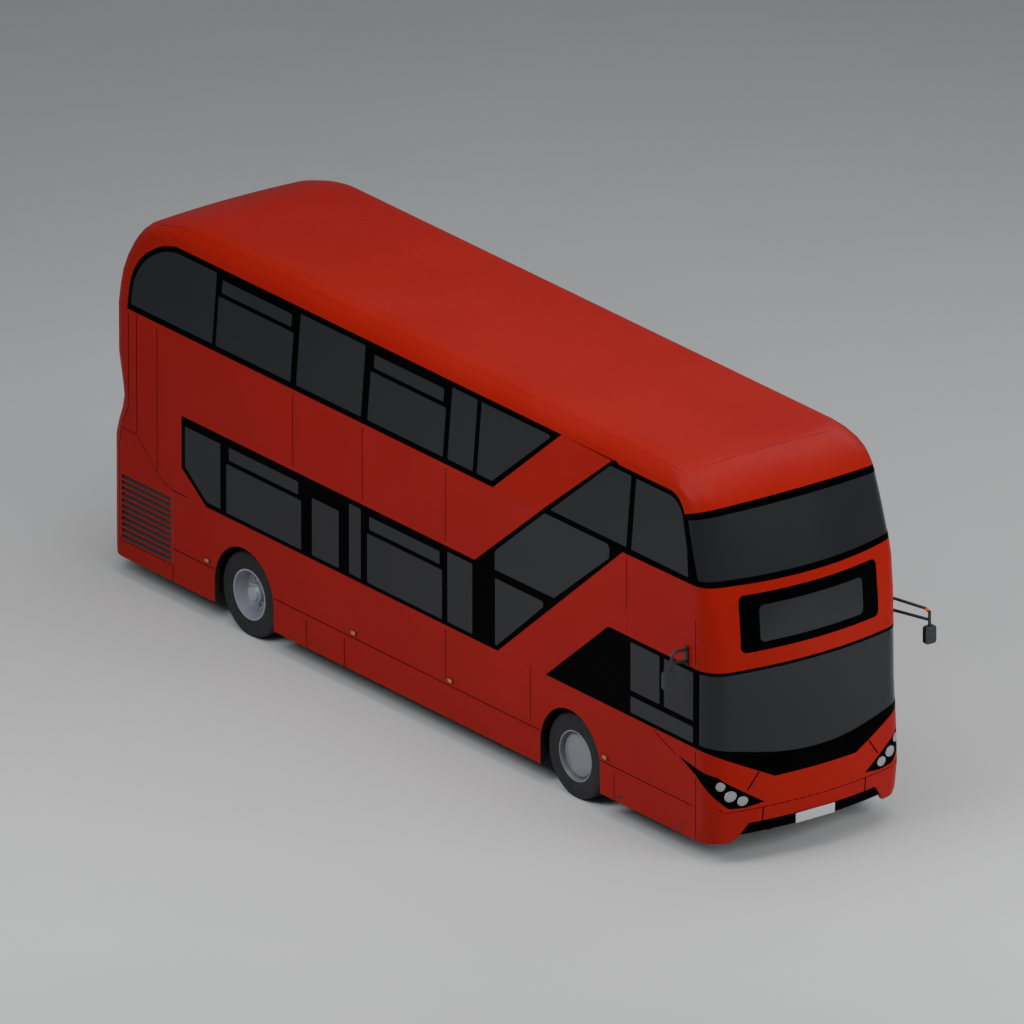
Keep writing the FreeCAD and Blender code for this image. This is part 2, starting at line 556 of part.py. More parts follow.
# ================================================================ engine lid and rear flaps
SLAT_COUNT = 11
SLAT_PITCH = 68.8
SLAT_SLOT = 46.0
SLAT_FOOT = LOW_SEAM + 32
engine_lid = REAR_WALL.common(through_rear(LID, -SHUT_GAP))
slots = []
for i in range(SLAT_COUNT):
    slot_foot = SLAT_FOOT + i * SLAT_PITCH
    slot = box_outline(-5109, -4238, slot_foot, slot_foot + SLAT_SLOT)
    slots.append(side_prism(slot, -HALF - 10, HALF + 10))
offside_flap = on_side(SIDE_WALLS, FLAP_OPENING, -1, -SHUT_GAP).cut(slots)

# ================================================================ doors
# Each door has two leaves. A leaf hangs by the middle of its width from two arms, one under it and one over it,
# on a post behind its own jamb. As the post turns inwards the leaf turns back twice as far, so that its far edge
# runs along the doorway and its near edge passes the post.
LEAF_X = HALF - LEAF_RECESS - LEAF_THICK / 2
POST_X = LEAF_X - POST_INSET
MEETING_GAP = 10.0
ARM_WIDTH = 24.0
ARM_THICK = 16.0
ARM_CLEAR = 5.0                      # between an arm and what it swings over
EYE_RADIUS = 24.0
LEAF_PIN_RADIUS = 10.0
LUG_HALF = 26.0
LUG_THICK = 12.0
LUG_BITE = 4.0                       # how far a lug is let into its leaf
LEAF_KICK = 110.0
LOWER_ARM = FLOOR_TOP + SEAT_GAP + ARM_CLEAR
LEAF_BOTTOM = LOWER_ARM + ARM_THICK + ARM_CLEAR + LUG_THICK
LEAF_TOP = DOOR_TOP - LUG_THICK - 2 * ARM_CLEAR
UPPER_ARM = LEAF_TOP + LUG_THICK + ARM_CLEAR


def door_leaf(jamb, toward, width):
    """Leaf, its glass, and its post with arms. toward is +1 if the leaf reaches forward from its jamb."""
    start = jamb + toward * JAMB_GAP
    middle = start + toward * width / 2
    span = sorted((start, start + toward * width))
    outline = box_outline(*span, LEAF_BOTTOM, LEAF_TOP, 30)
    glazing = box_outline(span[0] + LEAF_BORDER, span[1] - LEAF_BORDER, LEAF_BOTTOM + LEAF_KICK,
                          LEAF_TOP - LEAF_BORDER, 40)
    inner, outer = LEAF_X - LEAF_THICK / 2, LEAF_X + LEAF_THICK / 2
    leaf = side_prism(outline, inner, outer).cut(side_prism(glazing, inner - 1, outer + 1))
    glass = side_prism(glazing, outer - GLASS, outer, -SEAT_GAP)
    post_place = jamb - toward * POST_SET_BACK
    post = [rod(POST_RADIUS, point(POST_X, post_place, FLOOR_TOP + SEAT_GAP),
                point(POST_X, post_place, DECK_FLOOR_UNDER - SEAT_GAP))]
    lugs = []
    bores = []
    for arm, lug, pin_to in ((LOWER_ARM, LEAF_BOTTOM - LUG_THICK, LEAF_BOTTOM),
                             (UPPER_ARM, LEAF_TOP - LUG_BITE, LEAF_TOP)):
        post.append(block(POST_X - ARM_WIDTH / 2, POST_X + ARM_WIDTH / 2, *sorted((post_place, middle)),
                          arm, arm + ARM_THICK))
        post.append(rod(EYE_RADIUS, point(POST_X, middle, arm), point(POST_X, middle, arm + ARM_THICK)))
        bores.append(rod(LEAF_PIN_RADIUS + RUNNING_FIT, point(POST_X, middle, arm - 1),
                         point(POST_X, middle, arm + ARM_THICK + 1)))
        lugs.append(block(POST_X - LUG_HALF, LEAF_X, middle - LUG_HALF, middle + LUG_HALF, lug,
                          lug + LUG_THICK + LUG_BITE))
        pin_ends = sorted((arm, arm + ARM_THICK, pin_to))
        pin_foot, pin_head = (point(POST_X, middle, pin_ends[k]) for k in (0, -1))
        lugs.append(rod(LEAF_PIN_RADIUS, pin_foot, pin_head))
    return joined([leaf] + lugs), glass, joined(post).cut(bores)


door_nodes = {}
for door, (rear_jamb, front_jamb) in DOORS.items():
    leaf_width = (front_jamb - rear_jamb) / 2 - JAMB_GAP - MEETING_GAP / 2
    for leaf_name, jamb, toward in (("front", front_jamb, -1), ("rear", rear_jamb, 1)):
        leaf, glass, post = door_leaf(jamb, toward, leaf_width)
        door_nodes[door + "_door_" + leaf_name + "_leaf"] = [leaf, glass]
        door_nodes[door + "_door_" + leaf_name + "_post"] = [post]

# ================================================================ floors, wheel boxes and stairs
FIT = WALL + SEAT_GAP
inner_fit = body_form(FIT, FIT)
BOX_OUTER_X = HALF - FIT
STAIR_WIDTH = 560.0
STAIR_RISERS = 9
STAIR_GOING = 240.0
STAIR_FOOT = 1420.0
STAIR_HEAD = STAIR_FOOT + (STAIR_RISERS - 1) * STAIR_GOING
STAIR_RISE = (DECK_FLOOR_TOP - FLOOR_TOP) / STAIR_RISERS
STAIR_X = -HALF + FIT + 5


def slab(z_from, z_to, ahead_from, ahead_to):
    """Plate that fills the body's inner outline between two places along the bus."""
    return inner_fit.common(block(-HALF, HALF, ahead_from, ahead_to, z_from, z_to))


def box_space(axle, sign, grow=0.0):
    x0, x1 = sorted((sign * (BOX_X - grow), sign * HALF))
    return block(x0, x1, axle - BOX_HALF_LENGTH - grow, axle + BOX_HALF_LENGTH + grow, 0, BOX_TOP + grow)


box_fits = [box_space(axle, sign, SEAT_GAP) for axle in (FRONT_AXLE, REAR_AXLE) for sign in (-1, 1)]
low_floor = slab(FLOOR_TOP - FLOOR_THICK, FLOOR_TOP, REAR_STEP, NOSE)
high_floor = slab(REAR_FLOOR_TOP - FLOOR_THICK, REAR_FLOOR_TOP, BULKHEAD, REAR_STEP)
step = slab(FLOOR_TOP - FLOOR_THICK, REAR_FLOOR_TOP, REAR_STEP, REAR_STEP + FLOOR_THICK)
bulkhead = slab(REAR_FLOOR_TOP - FLOOR_THICK, DECK_FLOOR_UNDER - SEAT_GAP, BULKHEAD - FLOOR_THICK, BULKHEAD)
lower_floor = joined([low_floor, high_floor, step, bulkhead]).cut(box_fits)

wheel_boxes = []
for axle in (FRONT_AXLE, REAR_AXLE):
    for sign in (-1, 1):
        shell = box_space(axle, sign).cut(box_space(axle, sign, -BOX_WALL))
        x0, x1 = sorted((sign * (BOX_X - 10), sign * BOX_OUTER_X))
        reach = BOX_HALF_LENGTH + 10
        shell = shell.common(block(x0, x1, axle - reach, axle + reach, FLOOR_TOP - 40, BOX_TOP + 10))
        notch = block(-BOX_OUTER_X, BOX_OUTER_X, REAR_AXLE - AXLE_NOTCH, REAR_AXLE + AXLE_NOTCH,
                      FLOOR_TOP - 50, AXLE_Z + AXLE_NOTCH)
        wheel_boxes.append(shell.cut(notch))

stair_opening = block(-HALF, STAIR_X + STAIR_WIDTH + 20, STAIR_FOOT + 60, STAIR_HEAD + SEAT_GAP, BAND_TOP,
                      DECK_FLOOR_TOP + 10)
upper_floor = slab(DECK_FLOOR_UNDER, DECK_FLOOR_TOP, TAIL + 510, NOSE - 260).cut(stair_opening)

stair_line = [(STAIR_FOOT, FLOOR_TOP + SEAT_GAP)]
for i in range(STAIR_RISERS - 1):
    tread = FLOOR_TOP + (i + 1) * STAIR_RISE
    stair_line += [(STAIR_FOOT + i * STAIR_GOING, tread), (STAIR_FOOT + (i + 1) * STAIR_GOING, tread)]
box_rear = FRONT_AXLE - BOX_HALF_LENGTH - 20
stair_line += [(STAIR_HEAD, DECK_FLOOR_TOP - STAIR_RISE - 130), (box_rear + 230, BOX_TOP + 20),
               (box_rear, BOX_TOP + 20), (box_rear, 870), (STAIR_FOOT + STAIR_GOING, FLOOR_TOP + SEAT_GAP)]
staircase = side_prism(stair_line, STAIR_X, STAIR_X + STAIR_WIDTH)

# ================================================================ chassis, battery and axles
RAIL_X = 430.0
RAIL_WIDTH = 60.0
RAIL_DEEP = 80.0
CROSS_PLACES = (4600, 1500, 0, -1500)
CROSS_HALF = 30.0
REAR_BEAM_HALF = 1000.0
RAIL_TOP = FLOOR_TOP - FLOOR_THICK - SEAT_GAP
HIGH_RAIL_TOP = REAR_FLOOR_TOP - FLOOR_THICK - SEAT_GAP
CRADLE_TOP = 490.0
rail_front = NOSE - 230
rail_rise = REAR_STEP - SEAT_GAP
cradle_front = BULKHEAD - FLOOR_THICK - SEAT_GAP
rail_rear = TAIL + 230
# Rail lengths, the same on both sides. Columns: ahead from, ahead to, underside, top.
RAIL_LENGTHS = [
    (rail_rise, rail_front, RAIL_TOP - RAIL_DEEP, RAIL_TOP),
    (rail_rise - RAIL_DEEP, rail_rise - SEAT_GAP, RAIL_TOP - RAIL_DEEP, HIGH_RAIL_TOP),
    (cradle_front + RAIL_DEEP, rail_rise - RAIL_DEEP - SEAT_GAP, HIGH_RAIL_TOP - RAIL_DEEP, HIGH_RAIL_TOP),
    (cradle_front, cradle_front + RAIL_DEEP - SEAT_GAP, CRADLE_TOP - RAIL_DEEP, HIGH_RAIL_TOP),
    (rail_rear, cradle_front - SEAT_GAP, CRADLE_TOP - RAIL_DEEP, CRADLE_TOP),
]
chassis_frame = []
for length in RAIL_LENGTHS:
    chassis_frame.append(block(RAIL_X, RAIL_X + RAIL_WIDTH, *length))
    chassis_frame.append(block(-RAIL_X - RAIL_WIDTH, -RAIL_X, *length))
CROSS_TOPS = [(place, RAIL_TOP) for place in CROSS_PLACES] + [(cradle_front - 90, CRADLE_TOP)]
outrigger_end = HALF - FIT
for place, top in CROSS_TOPS:
    for x0, x1 in ((-outrigger_end, -RAIL_X - RAIL_WIDTH - SEAT_GAP), (-RAIL_X + SEAT_GAP, RAIL_X - SEAT_GAP),
                   (RAIL_X + RAIL_WIDTH + SEAT_GAP, outrigger_end)):
        chassis_frame.append(block(x0, x1, place - CROSS_HALF, place + CROSS_HALF, top - RAIL_DEEP, top))
chassis_frame.append(block(-REAR_BEAM_HALF, REAR_BEAM_HALF, rail_rear - 60, rail_rear - SEAT_GAP,
                           CRADLE_TOP - RAIL_DEEP, CRADLE_TOP))

BATTERY_HEIGHT = 1150.0
battery = block(-900, 900, rail_rear + 60, cradle_front - 30, CRADLE_TOP + SEAT_GAP,
                CRADLE_TOP + BATTERY_HEIGHT)

KINGPIN_X = WHEEL_X - KINGPIN_INSET
BOSS_RADIUS = 55.0
BOSS_HALF = 85.0
FORK_THICK = 40.0
FORK_GAP = 1.0
BEAM_Z = (150.0, 230.0)
BEAM_WIDTH = 110.0
RISER_INSET = 130.0
SPRING_RADIUS = 60.0


def front_fork(sign):
    """Riser, two eyes and kingpin at one end of the front beam."""
    x = sign * KINGPIN_X
    pieces = []
    for z in (AXLE_Z - BOSS_HALF - FORK_GAP - FORK_THICK, AXLE_Z + BOSS_HALF + FORK_GAP):
        pieces.append(rod(BOSS_RADIUS, point(x, FRONT_AXLE, z), point(x, FRONT_AXLE, z + FORK_THICK)))
        x0, x1 = sorted((x, x - sign * RISER_INSET))
        pieces.append(block(x0, x1, FRONT_AXLE - 50, FRONT_AXLE + 50, z, z + FORK_THICK))
    x0, x1 = sorted((x - sign * RISER_INSET, x - sign * (RISER_INSET + 60)))
    top = AXLE_Z + BOSS_HALF + FORK_GAP + FORK_THICK
    pieces.append(block(x0, x1, FRONT_AXLE - 50, FRONT_AXLE + 50, BEAM_Z[0], top))
    pieces.append(rod(KINGPIN_RADIUS, point(x, FRONT_AXLE, AXLE_Z - BOSS_HALF - 20),
                      point(x, FRONT_AXLE, AXLE_Z + BOSS_HALF + 20)))
    return pieces


beam_reach = KINGPIN_X - RISER_INSET
front_beam = [block(-beam_reach, beam_reach, FRONT_AXLE - BEAM_WIDTH / 2, FRONT_AXLE + BEAM_WIDTH / 2,
                    *BEAM_Z)]
for sign in (-1, 1):
    rail_middle = sign * (RAIL_X + RAIL_WIDTH / 2)
    front_beam.append(rod(RAIL_WIDTH / 2, point(rail_middle, FRONT_AXLE, BEAM_Z[1] - 5),
                          point(rail_middle, FRONT_AXLE, RAIL_TOP - RAIL_DEEP - SEAT_GAP)))
    front_beam += front_fork(sign)
front_axle = joined(front_beam)

HUB_REACH = 62.0                     # hub's length either side of the wheel's middle plane
HUB_INNER_X = WHEEL_X - HUB_REACH


def knuckle(sign):
    """Boss round the kingpin, with the spindle that carries the wheel."""
    x = sign * KINGPIN_X
    boss = rod(BOSS_RADIUS, point(x, FRONT_AXLE, AXLE_Z - BOSS_HALF), point(x, FRONT_AXLE, AXLE_Z + BOSS_HALF))
    shoulder = rod(BOSS_RADIUS + 15, point(x, FRONT_AXLE, AXLE_Z),
                   point(sign * (HUB_INNER_X - 6), FRONT_AXLE, AXLE_Z))
    spindle = rod(SPINDLE_RADIUS, point(x, FRONT_AXLE, AXLE_Z),
                  point(sign * (WHEEL_X + HUB_REACH), FRONT_AXLE, AXLE_Z))
    bore = rod(KINGPIN_RADIUS + RUNNING_FIT, point(x, FRONT_AXLE, 0), point(x, FRONT_AXLE, 2 * AXLE_Z))
    return joined([boss, shoulder, spindle]).cut(bore)


TWIN_X = WHEEL_X - TWIN_SPACING
HEAD_RADIUS = 190.0
casing_reach = TWIN_X - TYRE_WIDTH / 2 - 40
rear_casing = [
    rod(CASING_RADIUS, point(-casing_reach, REAR_AXLE, AXLE_Z), point(casing_reach, REAR_AXLE, AXLE_Z)),
    rod(HEAD_RADIUS, point(-150, REAR_AXLE, AXLE_Z), point(150, REAR_AXLE, AXLE_Z)),
    rod(SPINDLE_RADIUS, point(-WHEEL_X - HUB_REACH, REAR_AXLE, AXLE_Z),
        point(WHEEL_X + HUB_REACH, REAR_AXLE, AXLE_Z)),
]
for sign in (-1, 1):
    spring_x = sign * (RAIL_X + RAIL_WIDTH / 2)
    rear_casing.append(rod(SPRING_RADIUS, point(spring_x, REAR_AXLE, AXLE_Z),
                           point(spring_x, REAR_AXLE, HIGH_RAIL_TOP - RAIL_DEEP - SEAT_GAP)))
rear_axle = joined(rear_casing)

# ================================================================ wheels
# Half outlines are (distance outboard of the wheel's middle plane, radius) corners, turned about the axle.
TYRE_OUTLINE = [(-137.5, 330), (-128, 285.3), (128, 285.3), (137.5, 330), (137.5, 400, 60), (118, 478.5, 18),
                (-118, 478.5, 18), (-137.5, 400, 60)]
FRONT_RIM = [(-62, 40.05), (62, 40.05), (62, 60), (80, 60), (80, 215, 14), (60, 224), (60, 262), (128, 272),
             (128, 285), (96, 285), (90, 270), (-110, 270), (-116, 285), (-128, 285), (-128, 262), (38, 250),
             (38, 110), (-62, 110)]
TWIN_RIM = [(-62, 40.05), (62, 40.05), (62, 106, 8), (-10, 112), (-30, 250), (128, 268), (128, 285), (96, 285),
            (90, 274), (-110, 274), (-116, 285), (-128, 285), (-128, 262), (-52, 250), (-52, 240), (-34, 112),
            (-62, 106)]


def turned(corners, middle, axle, sign):
    """Ring turned about an axle from its half outline. sign is the side that the outline's outboard faces."""
    edges = rounded_edges(corners, lambda out, r: point(sign * (middle + out), axle, AXLE_Z + r))
    face = Part.Face(Part.Wire(edges))
    return face.revolve(point(0, axle, AXLE_Z), Vector(1, 0, 0), 360)


wheel_nodes = {}
for side, sign in (("offside", -1), ("nearside", 1)):
    wheel_nodes[side + "_front_tyre"] = [turned(TYRE_OUTLINE, WHEEL_X, FRONT_AXLE, sign)]
    wheel_nodes[side + "_front_rim"] = [turned(FRONT_RIM, WHEEL_X, FRONT_AXLE, sign)]
    outer_rim = turned(TWIN_RIM, WHEEL_X, REAR_AXLE, sign)
    inner_rim = turned([(-out, *rest) for out, *rest in TWIN_RIM], TWIN_X, REAR_AXLE, sign)
    spacer = [(TWIN_X + 61 - WHEEL_X, 60), (TWIN_X + 61 - WHEEL_X, 100), (-61, 100), (-61, 60)]
    rims = joined([outer_rim, inner_rim, turned(spacer, WHEEL_X, REAR_AXLE, sign)])
    wheel_nodes[side + "_rear_rims"] = [rims]
    wheel_nodes[side + "_rear_tyres"] = [turned(TYRE_OUTLINE, x, REAR_AXLE, sign) for x in (WHEEL_X, TWIN_X)]
    wheel_nodes[side + "_knuckle"] = [knuckle(sign)]

# ================================================================ seats, cab and rails
# Seat outline, (ahead, height) from the foot of the backrest; the leg stands near the gangway.
SEAT_OUTLINE = [(0, 395, 30), (440, 410, 40), (450, 500, 35), (75, 485, 30), (-55, 1010, 30), (-130, 1010, 30)]
SEAT_X = (330.0, 1190.0)
LEG_X = (370.0, 530.0)


def double_seat(foot, floor, sign):
    cushion = side_prism([(foot + a, floor + z, *rest) for a, z, *rest in SEAT_OUTLINE],
                         *(sign * x for x in SEAT_X))
    x0, x1 = sorted(sign * x for x in LEG_X)
    leg = block(x0, x1, foot + 150, foot + 260, floor + SEAT_GAP, floor + 430)
    return joined([cushion, leg])


LOWER_SEATS = [(-3920, REAR_FLOOR_TOP, -1), (-3920, REAR_FLOOR_TOP, 1), (-3060, REAR_FLOOR_TOP, -1),
               (-3060, REAR_FLOOR_TOP, 1), (-1700, FLOOR_TOP, -1), (-950, FLOOR_TOP, -1), (-200, FLOOR_TOP, -1),
               (550, FLOOR_TOP, -1), (-1700, FLOOR_TOP, 1), (850, FLOOR_TOP, 1), (1600, FLOOR_TOP, 1)]
lower_seats = [double_seat(*row) for row in LOWER_SEATS]
UPPER_ROWS = 12
UPPER_PITCH = 790.0
UPPER_FIRST = -4600.0
upper_seats = []
for i in range(UPPER_ROWS):
    foot = UPPER_FIRST + i * UPPER_PITCH
    upper_seats.append(double_seat(foot, DECK_FLOOR_TOP, 1))
    if foot + 460 < STAIR_FOOT + 60 or foot - 140 > STAIR_HEAD:
        upper_seats.append(double_seat(foot, DECK_FLOOR_TOP, -1))

CAB_REAR = 3560.0
CAB_SIDE_X = -300.0
CAB_DOOR_FRONT = 4560.0
partition = block(-HALF + FIT, CAB_SIDE_X, CAB_REAR - 30, CAB_REAR, FLOOR_TOP + SEAT_GAP,
                  DECK_FLOOR_UNDER - SEAT_GAP)
cab_side = block(CAB_SIDE_X - 30, CAB_SIDE_X, CAB_REAR - 30, CAB_DOOR_FRONT, FLOOR_TOP + SEAT_GAP, 1500)
driver_cab = joined([partition, cab_side])

DASH = [(4800, FLOOR_TOP + SEAT_GAP), (NOSE, FLOOR_TOP + SEAT_GAP), (NOSE, 1130), (4980, 1130, 60),
        (4740, 980, 60)]
WHEEL_CENTRE = point(-740, 4640, 1090)
COLUMN_FOOT = point(-740, 4900, 800)
column_axis = WHEEL_CENTRE - COLUMN_FOOT
column_axis.normalize()
dashboard = inner_fit.common(side_prism(DASH, -HALF, CAB_SIDE_X - 40))
steering = [
    dashboard,
    rod(28, COLUMN_FOOT, WHEEL_CENTRE),
    Part.makeTorus(215, 16, WHEEL_CENTRE, column_axis),
    rod(12, WHEEL_CENTRE - Vector(210, 0, 0), WHEEL_CENTRE + Vector(210, 0, 0)),
]
dashboard = joined(steering)

driver_seat = joined([
    side_prism([(3830 + a, FLOOR_TOP + z, *rest) for a, z, *rest in SEAT_OUTLINE], -990, -490),
    block(-830, -650, 3970, 4130, FLOOR_TOP + SEAT_GAP, FLOOR_TOP + 430),
])

POLE_RADIUS = 17.0
POLES = [(-290, -1300), (-290, -550), (-290, 900), (290, -1300), (290, 900), (290, 1900), (290, 3560)]
RAIL_HEIGHT = 2150.0
handrails = []
for x, place in POLES:
    pole_head = DECK_FLOOR_UNDER - SEAT_GAP
    handrails.append(rod(POLE_RADIUS, point(x, place, FLOOR_TOP + SEAT_GAP), point(x, place, pole_head)))
for x in (-290, 290):
    places = sorted(place for pole_x, place in POLES if pole_x == x)
    for start, end in zip(places, places[1:]):
        rail = rod(POLE_RADIUS * 0.9, point(x, start, RAIL_HEIGHT), point(x, end, RAIL_HEIGHT))
        handrails.append(rail.cut([rod(POLE_RADIUS + SEAT_GAP, point(x, place, RAIL_HEIGHT - 50),
                                       point(x, place, RAIL_HEIGHT + 50)) for place in (start, end)]))

# ================================================================ mirrors
# The offside mirror hangs back beside the driver's window; the nearside one reaches forward from the corner.
ARM_RADIUS = 17.0
HEAD_SIZE = (140.0, 60.0, 200.0)
MIRROR_PLATE_THICK = 22.0
mirror_plate = HALF + SEAT_GAP
ARM_FOOT_X = mirror_plate + ARM_RADIUS
# Each arm's stations are (outboard, ahead, height).
OFFSIDE_ARMS = [
    [(ARM_FOOT_X, 4860, 2375), (1440, 4860, 2385), (1487, 4860, 2340), (1487, 4860, 2165)],
    [(ARM_FOOT_X, 4860, 2235), (1487, 4860, 2280)],
]
NEARSIDE_ARMS = [
    [(ARM_FOOT_X, 4925, 2390), (1330, 5060, 2380), (1495, 5370, 2330), (1530, 5405, 2290), (1530, 5405, 2115)],
    [(ARM_FOOT_X, 4925, 2260), (1330, 5060, 2245), (1530, 5405, 2200)],
]


def bent_arm(sign, stations):
    stations = [point(sign * x, ahead, z) for x, ahead, z in stations]
    pieces = [rod(ARM_RADIUS, start, end) for start, end in zip(stations, stations[1:])]
    return pieces + [Part.makeSphere(ARM_RADIUS, station) for station in stations[1:-1]]


def mirror(sign, plate_ahead, plate_z, arms, head):
    """Wall plate, bent arms and head of one mirror. head is its middle (outboard, ahead, height)."""
    x0, x1 = sorted((sign * mirror_plate, sign * (mirror_plate + MIRROR_PLATE_THICK)))
    pieces = [block(x0, x1, *plate_ahead, *plate_z)]
    for stations in arms:
        pieces += bent_arm(sign, stations)
    width, depth, height = HEAD_SIZE
    x, ahead, z = head
    outline = box_outline(sign * x - width / 2, sign * x + width / 2, z - height / 2, z + height / 2, 30)
    pieces.append(front_prism(outline, ahead - depth / 2, ahead + depth / 2))
    return joined(pieces)


mirrors = [
    mirror(-1, (4835, 4885), (2200, 2410), OFFSIDE_ARMS, (1530, 4860, 2085)),
    mirror(1, (4900, 4950), (2215, 2420), NEARSIDE_ARMS, (1530, 5405, 2035)),
]

# ================================================================ nodes
# Hinge pins lie in the shut gap, at the skin, so that a lid or flap swings clear of its neighbour.
PIN_RADIUS = SHUT_GAP / 2 - SEAT_GAP
LID_PIN_HALF = 250.0
flap_pin = FLAP_FRONT - SHUT_GAP / 2
hinge_pins = []
for sign in (-1, 1):
    hinge_pins.append(rod(PIN_RADIUS, point(sign * HALF, flap_pin, LOW_SEAM + 12),
                          point(sign * HALF, flap_pin, WAIST - 12)))
lid_pin_z = WAIST + 270 - SHUT_GAP / 2
lid_pin_ahead = TAIL + 9.5
hinge_pins.append(rod(PIN_RADIUS, point(-LID_PIN_HALF, lid_pin_ahead, lid_pin_z),
                      point(LID_PIN_HALF, lid_pin_ahead, lid_pin_z)))

os.makedirs("parts", exist_ok=True)
export("hinge_pins", hinge_pins)
export("window_frames", window_frames)
export("side_windows", side_windows)
export("windscreens", windscreens)
export("lamps", lamps)
export("black_trim", black_trim)
export("front_panels", front_panels)
export("lower_side_panels", lower_side_panels)
export("upper_side_panels", upper_side_panels)
export("roof", [roof])
export("rear_panels", rear_panels)
export("engine_lid", [engine_lid])
export("offside_rear_flap", [offside_flap])
export("nearside_rear_flap", [mirrored(offside_flap)])
export("lower_floor", [lower_floor])
export("wheel_boxes", wheel_boxes)
export("upper_floor", [upper_floor])
export("staircase", [staircase])
export("chassis_frame", chassis_frame)
export("traction_battery", [battery])
export("front_axle", [front_axle])
export("rear_axle", [rear_axle])
export("lower_seats", lower_seats)
export("upper_seats", upper_seats)
export("driver_cab", [driver_cab])
export("dashboard", [dashboard])
export("driver_seat", [driver_seat])
export("handrails", handrails)
export("mirrors", mirrors)
for name, shapes in {**door_nodes, **wheel_nodes}.items():
    export(name, shapes)
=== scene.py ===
import bmesh
import bpy
import math
from mathutils import Matrix, Vector
from mathutils.bvhtree import BVHTree


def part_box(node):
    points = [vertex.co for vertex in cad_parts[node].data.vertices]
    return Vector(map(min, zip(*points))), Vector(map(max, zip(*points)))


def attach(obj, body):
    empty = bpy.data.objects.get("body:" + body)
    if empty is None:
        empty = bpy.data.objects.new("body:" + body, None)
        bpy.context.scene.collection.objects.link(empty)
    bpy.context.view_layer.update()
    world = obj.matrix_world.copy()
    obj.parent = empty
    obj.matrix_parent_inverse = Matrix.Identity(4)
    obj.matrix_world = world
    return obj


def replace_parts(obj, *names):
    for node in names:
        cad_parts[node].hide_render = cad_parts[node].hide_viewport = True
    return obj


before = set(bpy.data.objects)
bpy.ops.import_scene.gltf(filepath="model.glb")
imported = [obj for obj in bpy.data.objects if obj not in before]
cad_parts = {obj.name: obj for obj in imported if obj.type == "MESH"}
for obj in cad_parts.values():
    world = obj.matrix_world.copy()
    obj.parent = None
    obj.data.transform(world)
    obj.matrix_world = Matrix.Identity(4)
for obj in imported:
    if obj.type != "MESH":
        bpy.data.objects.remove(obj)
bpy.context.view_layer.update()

# ------------------------------------------------------------
# Studio. A pale seamless floor under the bus, a broad overhead light, a key from the offside front and two
# fills, with the long lens that shows the bus from its offside front quarter, almost without perspective.
AZIMUTH = math.radians(-37.2)
ELEVATION = math.radians(21.83)
LOOK_AT = Vector((0.080, -0.015, 2.058))
VIEW_WIDTH = 10.894
LENS = 1650.0
FILM = 36.0
FLOOR_HALF = 60.0
FLOOR_TONES = ((0.56, 0.57, 0.58, 1), (0.62, 0.62, 0.62, 1))
LIGHTS_AIM = Vector((0, 0, 2))
# Lights: name, azimuth, elevation, distance, size, power.
LIGHTS = [("overhead", -30, 78, 14, 12, 1230), ("key", -80, 40, 16, 8, 1350), ("front_fill", 15, 14, 16, 8, 1100),
          ("back_fill", 95, 45, 18, 10, 600)]
# This one would mirror as a bright band in the front windows.
WITHOUT_GLARE = "front_fill"
SKY = (0.80, 0.83, 0.88, 1)
SKY_STRENGTH = 0.22


def direction(azimuth, elevation):
    """Unit vector from the bus towards a viewer at that azimuth and elevation."""
    level = math.cos(elevation)
    return Vector((math.sin(azimuth) * level, -math.cos(azimuth) * level, math.sin(elevation)))


def into_scene(thing):
    bpy.context.scene.collection.objects.link(thing)
    return thing


def feed(tree, socket, given):
    """Links another node's socket to this one, or sets its value."""
    if isinstance(given, bpy.types.NodeSocket):
        tree.links.new(given, socket)
    else:
        socket.default_value = given


def wire(tree, node, **inputs):
    """Feeds a node's inputs. Their names have _ for a blank."""
    for label, given in inputs.items():
        feed(tree, node.inputs[label.replace("_", " ")], given)


def value_node(tree, kind, inputs=(), **settings):
    """Adds one node to a node tree. inputs pairs a socket with a value or with another node's socket."""
    made = tree.nodes.new(kind)
    for key, setting in settings.items():
        setattr(made, key, setting)
    for socket, given in inputs:
        feed(tree, made.inputs[socket], given)
    return made


def new_material(name, **sockets):
    """A material with one Principled shader. sockets are its constant values, with _ for a blank."""
    material = bpy.data.materials.new(name)
    material.use_nodes = True
    tree = material.node_tree
    shader = tree.nodes["Principled BSDF"]
    wire(tree, shader, **sockets)
    return material, tree, shader


def mixed(tree, factor, first, second):
    """Colour output of a Mix node."""
    inputs = ((0, factor), (6, first), (7, second))
    return value_node(tree, "ShaderNodeMix", inputs, data_type="RGBA", blend_type="MIX").outputs[2]


def noise(tree, vector, scale, detail=3.0, roughness=0.55):
    inputs = [("Vector", vector), ("Scale", scale), ("Detail", detail), ("Roughness", roughness)]
    return value_node(tree, "ShaderNodeTexNoise", inputs).outputs["Fac"]


def local_place(tree):
    return tree.nodes.new("ShaderNodeTexCoord").outputs["Object"]


floor_mesh = bpy.data.meshes.new("studio_floor")
corners = [(x * FLOOR_HALF, y * FLOOR_HALF, 0) for x, y in ((-1, -1), (1, -1), (1, 1), (-1, 1))]
floor_mesh.from_pydata(corners, [], [(0, 1, 2, 3)])
studio_floor = into_scene(bpy.data.objects.new("studio_floor", floor_mesh))
floor_paint, tree, shader = new_material("studio_floor_paint", Roughness=0.75)
wire(tree, shader, Base_Color=mixed(tree, noise(tree, local_place(tree), 0.4), *FLOOR_TONES))
floor_mesh.materials.append(floor_paint)

